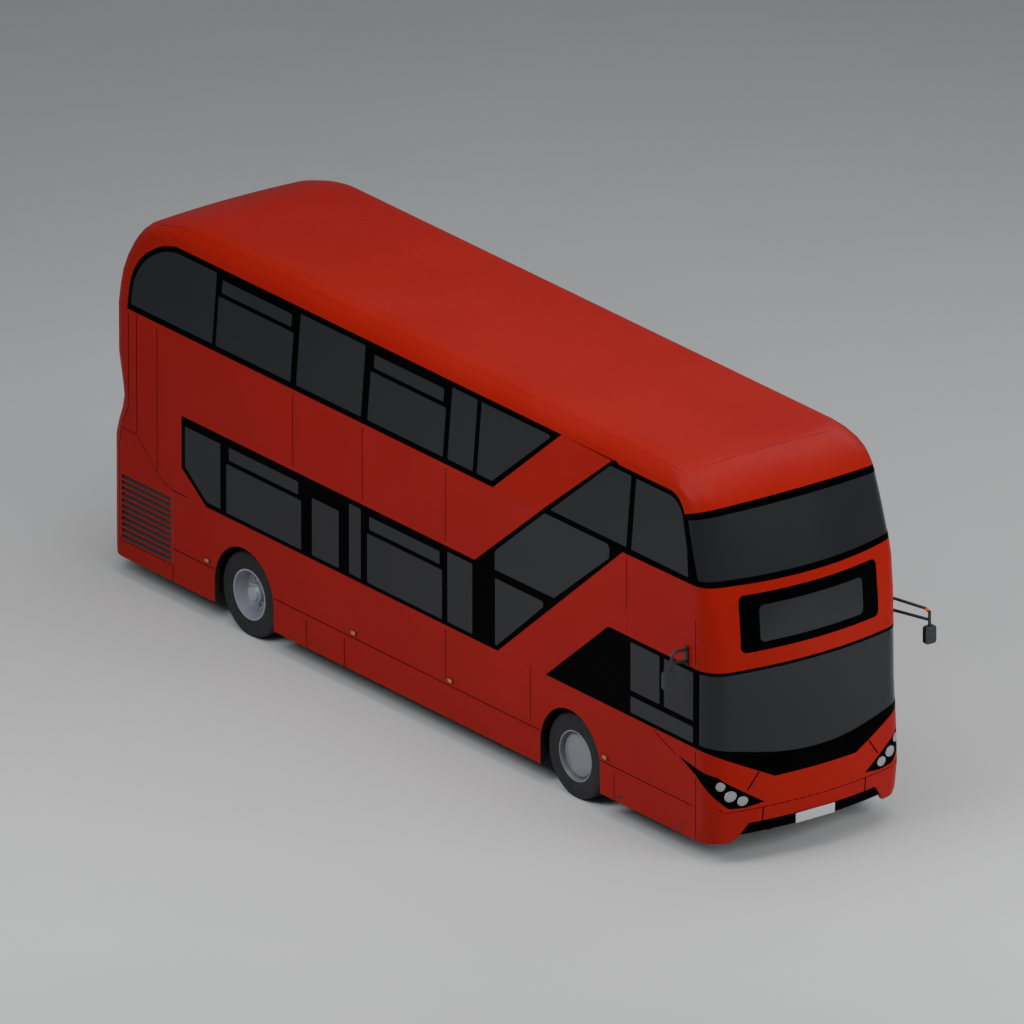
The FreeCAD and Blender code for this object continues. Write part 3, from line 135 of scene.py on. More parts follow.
camera_data = bpy.data.cameras.new("camera")
camera = into_scene(bpy.data.objects.new("camera", camera_data))
camera_data.sensor_width = FILM
camera_data.lens = LENS
distance = VIEW_WIDTH * LENS / FILM
camera_data.clip_start = 1.0
camera_data.clip_end = distance * 3
camera.location = LOOK_AT + direction(AZIMUTH, ELEVATION) * distance
camera.rotation_euler = (math.pi / 2 - ELEVATION, 0, AZIMUTH)
bpy.context.scene.camera = camera

for name, azimuth, elevation, distance, size, power in LIGHTS:
    lamp_data = bpy.data.lights.new(name, "AREA")
    lamp_data.size = size
    lamp_data.energy = power
    lamp = into_scene(bpy.data.objects.new(name, lamp_data))
    lamp.visible_glossy = name != WITHOUT_GLARE
    towards = direction(math.radians(azimuth), math.radians(elevation))
    lamp.location = LIGHTS_AIM + towards * distance
    lamp.rotation_euler = towards.to_track_quat("Z", "Y").to_euler()
world = bpy.data.worlds.new("studio")
world.use_nodes = True
wire(world.node_tree, world.node_tree.nodes["Background"], Color=SKY, Strength=SKY_STRENGTH)
bpy.context.scene.world = world

# ------------------------------------------------------------
# Painted body panels. Bonded aluminium and glass-fibre panels in gloss red, a little waved and faded, with
# road film low down; each is fixed to the frame behind it and meets the next in a bead of dark sealant.
FLOAT, COLOUR = "NodeSocketFloat", "NodeSocketColor"
HALF_WIDTH = 1.275
FRONT_AXLE = Vector((0, -2.82, 0.4785))
REAR_AXLE = Vector((0, 2.93, 0.4785))
ARCH_REACH = 0.60
ARCH_CENTRE_Z = 0.5
SIDE_SKIN = 1.2                         # anything further out belongs to a side wall's skin
SKIRT_TOP = 0.3
# Where the flaps and the lid have their slots and edges, painted black as shade: from and to, across, along and up.
FLAP_ROOM = ((SIDE_SKIN, 2.0), (4.18, 5.18), (0.42, 1.80))
LID_ROOM = ((-1.0, 0.95), (5.2, 6.0), (0.60, 1.58))
RED = (0.288, 0.0108, 0.0094)
RED_FADED = (0.312, 0.0124, 0.0108)
RED_PANELS = ("lower_side_panels", "upper_side_panels", "roof", "front_panels", "rear_panels", "engine_lid",
              "offside_rear_flap", "nearside_rear_flap")


def bump(tree, shader, height, strength, distance):
    """Feeds a height to the shader's normal."""
    inputs = [("Height", height), ("Strength", strength), ("Distance", distance)]
    wire(tree, shader, Normal=value_node(tree, "ShaderNodeBump", inputs).outputs["Normal"])


def math_node(tree, operation, *inputs, clamp=False):
    made = value_node(tree, "ShaderNodeMath", enumerate(inputs), operation=operation, use_clamp=clamp)
    return made.outputs[0]


def ramp(tree, factor, low, high, to_low=0.0, to_high=1.0):
    inputs = [("Value", factor), ("From Min", low), ("From Max", high), ("To Min", to_low), ("To Max", to_high)]
    return value_node(tree, "ShaderNodeMapRange", inputs).outputs["Result"]


def cell_distance(tree, vector, scale):
    """How far a point lies from the middle of its cell, in a field of cells."""
    return value_node(tree, "ShaderNodeTexVoronoi", [("Vector", vector), ("Scale", scale)]).outputs["Distance"]


def new_effect(name, inputs, outputs):
    """Empty shader node group. inputs are (name, kind, default) and outputs are (name, kind)."""
    tree = bpy.data.node_groups.new(name, "ShaderNodeTree")
    for label, kind, default in inputs:
        tree.interface.new_socket(label, in_out="INPUT", socket_type=kind).default_value = default
    for label, kind in outputs:
        tree.interface.new_socket(label, in_out="OUTPUT", socket_type=kind)
    return tree, tree.nodes.new("NodeGroupInput").outputs, tree.nodes.new("NodeGroupOutput"), local_place(tree)


def effect(tree, group, **inputs):
    """Places a shared effect in a material, with its own values."""
    made = tree.nodes.new("ShaderNodeGroup")
    made.node_tree = group
    wire(tree, made, **inputs)
    return made.outputs


road_film, given, results, place = new_effect(
    "Road Film",
    [("Colour", COLOUR, (0.5, 0.5, 0.5, 1)), ("Film Colour", COLOUR, (0.13, 0.11, 0.09, 1)),
     ("Reach", FLOAT, 1.0), ("Amount", FLOAT, 0.5)],
    [("Colour", COLOUR), ("Mask", FLOAT)],
)
above_ground = value_node(road_film, "ShaderNodeSeparateXYZ", [("Vector", place)]).outputs["Z"]
share_up = math_node(road_film, "DIVIDE", above_ground, given["Reach"], clamp=True)
low = math_node(road_film, "SUBTRACT", 1.0, share_up)
streaks = value_node(road_film, "ShaderNodeMapping", [("Vector", place), ("Scale", (3.0, 3.0, 0.6))]).outputs[0]
patches = ramp(road_film, noise(road_film, streaks, 1.6, 6.0, 0.65), 0.3, 0.75)
mask = math_node(road_film, "MULTIPLY", math_node(road_film, "POWER", low, 1.6), patches)
mask = math_node(road_film, "MULTIPLY", mask, given["Amount"], clamp=True)
wire(road_film, results, Colour=mixed(road_film, mask, given["Colour"], given["Film Colour"]), Mask=mask)

paint_film, given, results, place = new_effect(
    "Paint Film",
    [("Colour", COLOUR, (0.5, 0.5, 0.5, 1)), ("Faded Colour", COLOUR, (0.6, 0.5, 0.5, 1)),
     ("Roughness", FLOAT, 0.3)],
    [("Colour", COLOUR), ("Roughness", FLOAT), ("Height", FLOAT)],
)
fading = ramp(paint_film, noise(paint_film, place, 0.9, 4.0), 0.35, 0.7)
smears = ramp(paint_film, noise(paint_film, place, 14.0, 5.0, 0.7), 0.3, 0.8, -0.05, 0.08)
waves = math_node(paint_film, "MULTIPLY", noise(paint_film, place, 1.3, 1.0), 6.0)
peel = math_node(paint_film, "MULTIPLY", noise(paint_film, place, 260.0, 2.0), 0.12)
wire(paint_film, results, Colour=mixed(paint_film, fading, given["Colour"], given["Faded Colour"]),
     Roughness=math_node(paint_film, "ADD", given["Roughness"], smears),
     Height=math_node(paint_film, "ADD", waves, peel))


def painted(name, colour, faded, roughness, film_reach, film_amount, coat=0.02):
    """Gloss paint with fading, orange peel and road film."""
    material, tree, shader = new_material(name, Coat_Roughness=0.12, Specular_IOR_Level=0.06)
    film = effect(tree, paint_film, Colour=(*colour, 1), Faded_Colour=(*faded, 1), Roughness=roughness)
    dirty = effect(tree, road_film, Colour=film["Colour"], Reach=film_reach, Amount=film_amount)
    clean = math_node(tree, "SUBTRACT", 1.0, dirty["Mask"])
    dull = math_node(tree, "MULTIPLY", dirty["Mask"], 0.4)
    wire(tree, shader, Base_Color=dirty["Colour"], Roughness=math_node(tree, "ADD", film["Roughness"], dull),
         Coat_Weight=math_node(tree, "MULTIPLY", clean, coat))
    bump(tree, shader, film["Height"], 0.25, 0.0006)
    return material


moulded_grain, given, results, place = new_effect(
    "Moulded Grain",
    [("Colour", COLOUR, (0.1, 0.1, 0.1, 1)), ("Scale", FLOAT, 400.0), ("Roughness", FLOAT, 0.5),
     ("Wear", FLOAT, 0.25)],
    [("Colour", COLOUR), ("Roughness", FLOAT), ("Height", FLOAT)],
)
worn = ramp(moulded_grain, noise(moulded_grain, place, 5.0, 5.0), 0.35, 0.75)
lighter = mixed(moulded_grain, 0.12, given["Colour"], (0.5, 0.5, 0.5, 1))
wear = math_node(moulded_grain, "MULTIPLY", worn, given["Wear"])
dulling = math_node(moulded_grain, "MULTIPLY", worn, 0.12)
wire(moulded_grain, results, Colour=mixed(moulded_grain, wear, given["Colour"], lighter),
     Roughness=math_node(moulded_grain, "ADD", given["Roughness"], dulling),
     Height=cell_distance(moulded_grain, place, given["Scale"]))


def moulded(name, colour, roughness, grain=500.0, depth=0.0002, film_amount=0.0, specular=0.4, wear=0.25):
    """Moulded plastic or rubber with a fine grain, so many cells to the metre, of a depth in metres."""
    material, tree, shader = new_material(name, Specular_IOR_Level=specular)
    grained = effect(tree, moulded_grain, Colour=(*colour, 1), Scale=grain, Roughness=roughness, Wear=wear)
    dirty = effect(tree, road_film, Colour=grained["Colour"], Reach=1.2, Amount=film_amount)
    wire(tree, shader, Base_Color=dirty["Colour"], Roughness=grained["Roughness"])
    bump(tree, shader, grained["Height"], 0.3, depth)
    return material


def dress(nodes, *materials, pick=None):
    """Gives CAD nodes materials in place of their plain one. pick(centre, normal) is a face's material number."""
    for node in nodes:
        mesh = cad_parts[node].data
        mesh.materials.clear()
        for material in materials:
            mesh.materials.append(material)
        if pick:
            for face in mesh.polygons:
                face.material_index = pick(face.center, face.normal)


def within(centre, room):
    """Whether a point of either side lies in a room, given for the nearside."""
    return all(low < value < high for value, (low, high) in zip((abs(centre.x), centre.y, centre.z), room))


def panel_face(centre, normal):
    """Red outside and grey lining inside. Black underseal covers the wheel arches and the skirts' undersides. The
    same black is painted shade on the walls of the louvre slots and on the edges round the flaps and the lid."""
    level = abs(normal.x) < 0.5
    for axle in (FRONT_AXLE, REAR_AXLE):
        from_axle = math.hypot(centre.y - axle.y, centre.z - ARCH_CENTRE_Z)
        if level and from_axle < ARCH_REACH and abs(centre.x) > SIDE_SKIN:
            return 1
    if normal.z < -0.9 and centre.z < SKIRT_TOP:
        return 1
    if level and within(centre, FLAP_ROOM) or abs(normal.y) < 0.5 and within(centre, LID_ROOM):
        return 1
    towards_middle = normal.dot(Vector((-centre.x, -centre.y * 0.1, (2.4 - centre.z) * 0.3)).normalized())
    inside = abs(centre.x) < HALF_WIDTH - 0.045 or abs(centre.y) > 5
    return 2 if towards_middle > 0.75 and inside and abs(centre.x) > 0.02 else 0


def soften(nodes, angle=32):
    """Shades gently curved CAD skins as one surface. Edges sharper than the angle stay crisp."""
    limit = math.cos(math.radians(angle))
    for node in nodes:
        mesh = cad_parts[node].data
        keys = [tuple(round(c, 4) for c in vertex.co) for vertex in mesh.vertices]
        meeting = {}
        for face in mesh.polygons:
            for corner in face.vertices:
                meeting.setdefault(keys[corner], []).append((face.normal.copy(), face.area))
        normals = []
        for face in mesh.polygons:
            for corner in face.vertices:
                total = Vector()
                for normal, area in meeting[keys[corner]]:
                    if normal.dot(face.normal) > limit:
                        total += normal * area
                normals.append(total.normalized())
        mesh.polygons.foreach_set("use_smooth", [True] * len(mesh.polygons))
        mesh.normals_split_custom_set(normals)


red_paint = painted("red_paint", RED, RED_FADED, 0.42, 1.0, 0.06)
# Black underseal. On the flaps, the lid and the skirt's drain slots the same black is painted shade.
underseal_and_painted_shade = moulded("underseal_and_painted_shade", (0.006, 0.006, 0.006), 0.8, 90.0, 0.001, 0.3, 0.2)
wall_lining = moulded("wall_lining", (0.30, 0.31, 0.33), 0.55, 700.0, 0.0002)
dress(RED_PANELS, red_paint, underseal_and_painted_shade, wall_lining, pick=panel_face)
soften(RED_PANELS)

# ------------------------------------------------------------
# Sealant beads. Where two body panels meet, a narrow bead of dark polyurethane fills the joint. Each bead is
# laid on the skin along its seam, a little proud, and stops where a window, arch, door or lamp begins. Across the
# front the beads are wider: the joint together with a painted shadow under the step of the crease.
BEAD_HALF = 0.0075
CREASE_JOINT_AND_SHADOW_HALF = 0.0125
ROOF_BEAD_HALF = 0.0035
BEAD_PROUD = 0.0005
BEAD_SUNK = 0.0003
BEAD_STEP = 0.06
BESIDE = 1.4                            # rays start this far out beside, before or above the bus
BEYOND = 5.9
ABOVE = 4.6


def skin_of(*nodes):
    """Tree of faces that rays can be cast on, from several CAD nodes."""
    points, faces = [], []
    for node in nodes:
        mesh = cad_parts[node].data
        base = len(points)
        points += [vertex.co.copy() for vertex in mesh.vertices]
        faces += [[base + i for i in face.vertices] for face in mesh.polygons]
    return BVHTree.FromPolygons(points, faces)


def new_piece(name, points, faces, material):
    """A smooth mesh that rides on the bus's body."""
    mesh = bpy.data.meshes.new(name)
    mesh.from_pydata([tuple(p) for p in points], [], faces)
    mesh.update()
    piece = into_scene(bpy.data.objects.new(name, mesh))
    mesh.materials.append(material)
    mesh.shade_smooth()
    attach(piece, "bus_body")
    return piece


def lay_bead(points, faces, skin, stations, aim, half=BEAD_HALF, reach=1.0):
    """Adds one bead along a line of stations, each a start for a ray in the direction aim. It breaks where the
    skin is missing on either side."""
    last = None
    for before, here, after in zip(stations[:1] + stations, stations, stations[1:] + stations[-1:]):
        across = (after - before).cross(aim).normalized() * half
        hits = [skin.ray_cast(here + across * side, aim, reach)[:2] for side in (-1, 1)]
        if any(spot is None for spot, normal in hits):
            last = None
            continue
        base = len(points)
        spots = [spot for spot, normal in hits]
        up = sum((-normal if normal.dot(aim) > 0 else normal for spot, normal in hits), Vector()).normalized()
        middle = (spots[0] + spots[1]) / 2
        points += [spots[0] - up * BEAD_SUNK, middle + up * BEAD_PROUD, spots[1] - up * BEAD_SUNK]
        if last is not None:
            faces += [(last, base, base + 1, last + 1), (last + 1, base + 1, base + 2, last + 2)]
        last = base


def stations_along(corners, step=BEAD_STEP):
    """Evenly spaced stations along a line of corners."""
    found = [corners[0]]
    for start, end in zip(corners, corners[1:]):
        count = max(1, round((end - start).length / step))
        found += [start.lerp(end, (k + 1) / count) for k in range(count)]
    return found


def side_line(sign, corners):
    """Stations beside the body, from (ahead, height) corners in metres."""
    return stations_along([Vector((sign * BESIDE, -ahead, z)) for ahead, z in corners])


def face_line(y, corners):
    """Stations ahead of or behind the body, from (x, height) corners."""
    return stations_along([Vector((x, y, z)) for x, z in corners], BEAD_STEP / 3)


# Seams as corners: (ahead, height) on the sides, (x, height) on the front and rear, (x, ahead) on the roof.
SIDE_SEAMS = [
    [(-4.194, 0.242), (-4.194, 0.425)], [(-4.190, 0.620), (-3.46, 0.620)], [(-2.40, 0.620), (2.29, 0.620)],
    [(3.35, 0.620), (5.002, 0.620)], [(-1.828, 0.242), (-1.828, 0.62)], [(-1.152, 0.242), (-1.152, 0.62)],
    [(2.121, 0.62), (2.121, 1.30)], [(3.587, 0.242), (3.587, 0.62)], [(5.002, 0.242), (5.002, 2.75)],
    [(-2.063, 2.19), (-2.063, 3.14)], [(-0.834, 2.19), (-0.834, 3.14)], [(0.634, 2.19), (0.634, 3.14)],
    [(0.634, 0.62), (0.634, 1.30)], [(-4.477, 1.43), (-4.477, 3.14)], [(-4.841, 1.757), (-4.841, 3.12)],
    [(-4.19, 1.29), (-3.95, 1.29)], [(-5.160, 0.242), (-5.160, 1.51), (-5.123, 1.731)],
    [(-5.123, 1.731), (-4.985, 2.010), (-4.985, 3.13)],
]
OFFSIDE_SEAMS = [[(3.801, 2.5), (3.801, 3.3)], [(4.213, 1.286), (4.655, 1.115)]]
FRONT_SEAMS = [[(-1.215, 0.680), (-1.12, 0.612), (1.12, 0.612), (1.215, 0.680)]]
for sign in (-1, 1):
    FRONT_SEAMS += [[(sign * 0.68, 0.45), (sign * 0.68, 0.61)], [(sign * 0.73, 1.02), (sign * 0.87, 0.83)]]
REAR_SEAMS = [[(-1.2, 0.620), (1.2, 0.620)], [(-1.2, 1.731), (1.2, 1.731)]]
ROOF_SEAMS = [[(-1.05, 4.59), (1.05, 4.59)], [(-1.077, 4.59), (-1.077, -4.75)], [(1.077, 4.59), (1.077, -4.75)]]
body_skin = skin_of(*RED_PANELS)
bead_points, bead_faces = [], []
for sign in (-1, 1):
    for corners in SIDE_SEAMS + (OFFSIDE_SEAMS if sign < 0 else []):
        lay_bead(bead_points, bead_faces, body_skin, side_line(sign, corners), Vector((-sign, 0, 0)), reach=0.2)
# Front beads: part joint, part painted shadow under the crease's step.
for corners in FRONT_SEAMS:
    lay_bead(bead_points, bead_faces, body_skin, face_line(-BEYOND, corners), Vector((0, 1, 0)), CREASE_JOINT_AND_SHADOW_HALF)
for corners in REAR_SEAMS:
    lay_bead(bead_points, bead_faces, body_skin, face_line(BEYOND, corners), Vector((0, -1, 0)))
for corners in ROOF_SEAMS:
    line = stations_along([Vector((x, -ahead, ABOVE)) for x, ahead in corners])
    lay_bead(bead_points, bead_faces, body_skin, line, Vector((0, 0, -1)), ROOF_BEAD_HALF)
sealant = moulded("sealant", (0.004, 0.0010, 0.0009), 0.7, 300.0, 0.0003, 0.0, 0.03, 0.02)
new_piece("sealant_beads", bead_points, bead_faces, sealant)

# ------------------------------------------------------------
# Window surrounds and black trim. Pressed and moulded surrounds in satin black, bonded into the panels round
# every pane, with the headlamp corners, rear lamp panels and front intake in the same finish.
black_surround = moulded("black_surround", (0.0008, 0.0008, 0.001), 0.34, 600.0, 0.0001, 0.0, 0.012, 0.01)
dress(["window_frames", "black_trim"], black_surround)
soften(["window_frames", "black_trim"])

# ------------------------------------------------------------
# Glazing. Deeply tinted toughened glass, bonded into the black surrounds; a little light passes through it.
tinted_glass, tree, shader = new_material("tinted_glass", Transmission_Weight=0.10, IOR=1.45,
                                          Specular_IOR_Level=0.2)
smear = ramp(tree, noise(tree, local_place(tree), 0.9, 2.0), 0.2, 0.9)
wire(tree, shader, Base_Color=mixed(tree, smear, (0.0185, 0.0190, 0.0220, 1), (0.0210, 0.0215, 0.0246, 1)),
     Roughness=ramp(tree, smear, 0.0, 1.0, 0.14, 0.17))
dress(["side_windows", "windscreens"], tinted_glass)
soften(["side_windows", "windscreens"])

# ------------------------------------------------------------
# Headlamps and rear lamps. Round units let into the black corners: a satin metal bezel clamps a domed,
# moulded lens. The headlamps are clear and face out along the diagonal, the rear ones are clear, amber and red.
SLANT = math.sqrt(0.5)
LAMP_SEGMENTS = 40
# Share of the radius, and how far that ring stands off the skin.
LENS_RINGS = [(0.0, 0.0050), (0.15, 0.0049), (0.30, 0.0045), (0.42, 0.0038), (0.45, 0.0022), (0.48, 0.0034),
              (0.62, 0.0026), (0.76, 0.0015), (0.86, 0.0002), (0.875, 0.0030), (0.91, 0.0038), (0.96, 0.0034),
              (0.985, 0.0016), (0.99, -0.010)]
BEZEL_FROM = 8
# Across the corner, height and radius of the headlamps; height and lens of the rear lamps.
HEADLAMPS = [(2.918, 0.915, 0.0517), (3.020, 0.795, 0.0617), (3.140, 0.722, 0.0547)]
REAR_LAMPS = [(0.940, 1), (1.085, 2), (1.230, 3), (1.375, 3)]
REAR_LAMP_RADIUS = 0.0577
REAR_LAMP_X = 1.075


def join_rings(form, rings, kinds):
    """Lays faces from each ring to the next, either of which may be a single point. kinds are their materials."""
    for first, second, kind in zip(rings, rings[1:], kinds):
        count = max(len(first), len(second))
        for k in range(count):
            after = (k + 1) % count
            corners = [first[k % len(first)], second[k % len(second)]]
            corners += [ring[after] for ring in (second, first) if len(ring) > 1]
            form.faces.new(corners).material_index = kind


def add_lamp(form, skin, start, across, up, outward, radius, lens):
    """One domed lens in its bezel, laid on the skin that rays from start find."""
    rings = []
    for share, rise in LENS_RINGS:
        ring = []
        for k in range(LAMP_SEGMENTS if share else 1):
            turn = 2 * math.pi * k / LAMP_SEGMENTS
            ray = start + (across * math.cos(turn) + up * math.sin(turn)) * radius * share
            spot = skin.ray_cast(ray, -outward, 1.0)[0]
            if spot is None:
                spot = skin.find_nearest(ray - outward * 0.1)[0]
            ring.append(form.verts.new(spot + outward * rise))
        rings.append(ring)
    join_rings(form, rings, [lens] * BEZEL_FROM + [0] * len(rings))


def finish_form(form, name, materials, body="bus_body", smooth_angle=40):
    """Turns a bmesh into a piece that rides on a body, with edges sharper than smooth_angle kept sharp."""
    bmesh.ops.recalc_face_normals(form, faces=form.faces)
    for edge in form.edges:
        edge.smooth = not edge.is_manifold or edge.calc_face_angle() < math.radians(smooth_angle)
    mesh = bpy.data.meshes.new(name)
    form.to_mesh(mesh)
    form.free()
    mesh.polygons.foreach_set("use_smooth", [True] * len(mesh.polygons))
    piece = into_scene(bpy.data.objects.new(name, mesh))
    for material in materials:
        mesh.materials.append(material)
    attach(piece, body)
    return piece


def fluted_lens(name, colour):
    """Moulded lens: a bright ring of flutes under a clear skin."""
    material, tree, shader = new_material(name, Specular_IOR_Level=0.4, Coat_Weight=0.25, Coat_Roughness=0.05)
    cells = cell_distance(tree, local_place(tree), 160.0)
    shade = ramp(tree, cells, 0.0, 0.7)
    darker = tuple(0.72 * c for c in colour)
    wire(tree, shader, Base_Color=mixed(tree, shade, (*colour, 1), (*darker, 1)),
         Roughness=ramp(tree, shade, 0.0, 1.0, 0.2, 0.35))
    bump(tree, shader, cells, 0.35, 0.0008)
    return material


def metal(name, scale, tones, low, roughness):
    """Bare metal that drifts between two tones and two roughnesses."""
    material, tree, shader = new_material(name, Metallic=1.0)
    drift = noise(tree, local_place(tree), scale, 4.0)
    wire(tree, shader, Base_Color=mixed(tree, drift, *tones), Roughness=ramp(tree, drift, low, 0.8, *roughness))
    return material


satin_metal = metal("satin_metal", 60.0, ((0.42, 0.43, 0.45, 1), (0.55, 0.56, 0.58, 1)), 0.2, (0.28, 0.42))
clear_lens = fluted_lens("clear_lens", (0.30, 0.31, 0.33))
amber_lens = fluted_lens("amber_lens", (0.80, 0.17, 0.001))
red_lens = fluted_lens("red_lens", (0.30, 0.006, 0.004))
lamp_skin = skin_of("lamps")
lamp_form = bmesh.new()
for sign in (-1, 1):
    outward = Vector((sign * SLANT, -SLANT, 0))
    across = Vector((-sign * SLANT, -SLANT, 0))
    for along, height, radius in HEADLAMPS:
        add_lamp(lamp_form, lamp_skin, across * along + outward * 4.9 + Vector((0, 0, height)), across,
                 Vector((0, 0, 1)), outward, radius, 1)
    for height, lens in REAR_LAMPS:
        add_lamp(lamp_form, lamp_skin, Vector((sign * REAR_LAMP_X, 5.8, height)), Vector((1, 0, 0)),
                 Vector((0, 0, 1)), Vector((0, 1, 0)), REAR_LAMP_RADIUS, lens)
lamp_units = finish_form(lamp_form, "lamp_units", [satin_metal, clear_lens, amber_lens, red_lens])
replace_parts(lamp_units, "lamps")

# ------------------------------------------------------------
# Side markers, skirt slots and locks. Amber lenses in black plastic housings are screwed along both waists.
# The skirt has pressed drain slots, and the front panel is held by quarter-turn locks.
def add_block(form, centre, size, bevel, kind=0, turn=None):
    """Adds a block with rounded edges to a bmesh."""
    place = Matrix.Translation(Vector(centre)) @ (turn.to_4x4() if turn else Matrix.Identity(4))
    made = bmesh.ops.create_cube(form, size=1.0)
    bmesh.ops.scale(form, verts=made["verts"], vec=size)
    edges = list({edge for vertex in made["verts"] for edge in vertex.link_edges})
    corners = set(made["verts"])
    if bevel:
        made = bmesh.ops.bevel(form, geom=edges, offset=bevel, segments=2, profile=0.5, affect="EDGES")
        corners |= set(made["verts"])
    corners = [vertex for vertex in corners if vertex.is_valid]
    bmesh.ops.transform(form, matrix=place, verts=corners)
    for face in {face for vertex in corners for face in vertex.link_faces}:
        face.material_index = kind


def add_turned(form, profile, centre, axis, segments=32, kind=0):
    """Adds a form turned about an axis. profile is (along the axis, radius) pairs, and a radius of 0 closes it."""
    axis = Vector(axis).normalized()
    side = axis.orthogonal().normalized()
    other = axis.cross(side)
    rings = []
    for along, radius in profile:
        ring = []
        for k in range(segments if radius else 1):
            turn = 2 * math.pi * k / segments
            ring.append(form.verts.new(Vector(centre) + axis * along
                                       + (side * math.cos(turn) + other * math.sin(turn)) * radius))
        rings.append(ring)
    join_rings(form, rings, [kind] * len(rings))


MARKERS = {-1: (-3.588, -0.988, 0.717, 3.428), 1: (-3.588, -0.988, 0.717, 3.400)}
MARKER_Z = 0.680
SLOTS = (3.685, 4.719)
SLOT_Z = 0.307
LOCK_X, LOCK_Z = 0.80, 0.88
LOCK_PROFILE = [(0.0045, 0.0), (0.0045, 0.009), (0.0035, 0.0095), (0.0035, 0.0125), (0.002, 0.015), (-0.003, 0.015)]
black_plastic = moulded("black_plastic", (0.012, 0.012, 0.013), 0.42, 700.0, 0.0002, 0.15)
marker_form = bmesh.new()
for sign in (-1, 1):
    for ahead in MARKERS[sign]:
        spot = body_skin.ray_cast(Vector((sign * BESIDE, -ahead, MARKER_Z)), Vector((-sign, 0, 0)), 0.3)[0]
        x = spot.x + sign * 0.003
        add_block(marker_form, (x, -ahead, MARKER_Z), (0.010, 0.116, 0.050), 0.003)
        add_block(marker_form, (x + sign * 0.006, -ahead, MARKER_Z), (0.008, 0.066, 0.040), 0.003, 1)
        for end in (-0.045, 0.045):
            add_turned(marker_form, [(0, 0.0), (0.0, 0.0045), (-0.004, 0.0050)],
                       (x + sign * 0.0062, -ahead + end, MARKER_Z), (sign, 0, 0), 10, 2)
        for rib in (-0.026, 0.0, 0.026):
            add_block(marker_form, (x + sign * 0.0102, -ahead + rib, MARKER_Z), (0.0016, 0.0022, 0.034), 0.0006, 1)
    for ahead in SLOTS:
        add_block(marker_form, (sign * 1.2745, -ahead, SLOT_Z), (0.0035, 0.090, 0.030), 0.0015)
        # A darker strip in each drain slot is painted shade, standing for the slot's opening.
        add_block(marker_form, (sign * 1.2752, -ahead, SLOT_Z + 0.006), (0.0040, 0.078, 0.005), 0.0015, 2)
    start = Vector((sign * LOCK_X, -BEYOND, LOCK_Z))
    spot, normal = body_skin.ray_cast(start, Vector((0, 1, 0)), 1.0)[:2]
    add_turned(marker_form, LOCK_PROFILE, spot, normal, 20, 3)
lock_red = moulded("lock_red", (0.07, 0.006, 0.005), 0.4, 500.0, 0.0001, 0.2)
finish_form(marker_form, "side_markers", [black_plastic, amber_lens, underseal_and_painted_shade, lock_red])

# ------------------------------------------------------------
# Number plates. Blank plates, white at the front and yellow behind, on black backing frames. The front one
# hangs in the bumper's notch before the intake, and the rear one is screwed to the engine lid.
PLATE = (0.520, 0.003, 0.111)
PLATE_SCREWS = 0.235
plate_white = moulded("plate_white", (0.44, 0.44, 0.46), 0.4, 900.0, 0.00005, 0.1)
plate_yellow = moulded("plate_yellow", (0.62, 0.40, 0.03), 0.3, 900.0, 0.00005, 0.15)


def add_plate(form, x, y, z, outward, depth):
    """A plate with its frame. depth is how far back the frame reaches."""
    add_block(form, (x, y - outward * 0.0015, z), PLATE, 0.001, 0)
    add_block(form, (x, y - outward * (0.003 + depth / 2), z), (0.512, depth, 0.105), 0.002, 1)
    for side in (-PLATE_SCREWS, PLATE_SCREWS):
        add_turned(form, [(0.001, 0.0), (0.001, 0.004), (0.0, 0.005), (-0.002, 0.005)], (x + side, y, z),
                   (0, outward, 0), 14, 0)


front_plate = bmesh.new()
add_plate(front_plate, -0.02, -5.449, 0.394, -1, 0.032)
finish_form(front_plate, "front_plate", [plate_white, black_plastic])
rear_plate = bmesh.new()
add_plate(rear_plate, 0.0, 5.4525, 0.800, 1, 0.006)
finish_form(rear_plate, "rear_plate", [plate_yellow, black_plastic], "engine_lid")

# ------------------------------------------------------------
# Rear fittings. Two recessed pull latches let the engine lid go, and round red reflectors are screwed to the
# bumper's corners below the lamps.
rear_fittings = bmesh.new()
latches = bmesh.new()
lid_skin = skin_of("engine_lid")
for sign in (-1, 1):
    spot = lid_skin.ray_cast(Vector((sign * 0.70, 5.8, 0.700)), Vector((0, -1, 0)), 1.0)[0]
    add_block(latches, (spot.x, spot.y, spot.z), (0.130, 0.006, 0.062), 0.003)
    add_block(latches, (spot.x, spot.y + 0.0005, spot.z + 0.008), (0.096, 0.007, 0.026), 0.003, 1)
    spot, normal = body_skin.ray_cast(Vector((sign * 1.02, 5.8, 0.480)), Vector((0, -1, 0)), 1.0)[:2]
    add_turned(rear_fittings, [(0.005, 0.0), (0.0055, 0.030), (0.005, 0.034), (-0.004, 0.034)], spot, normal, 32)
    add_turned(rear_fittings, [(0.0062, 0.034), (0.0062, 0.038), (-0.004, 0.039)], spot, normal, 32, 1)
finish_form(latches, "lid_latches", [black_plastic, satin_metal], "engine_lid")
finish_form(rear_fittings, "rear_reflectors", [red_lens, black_plastic])

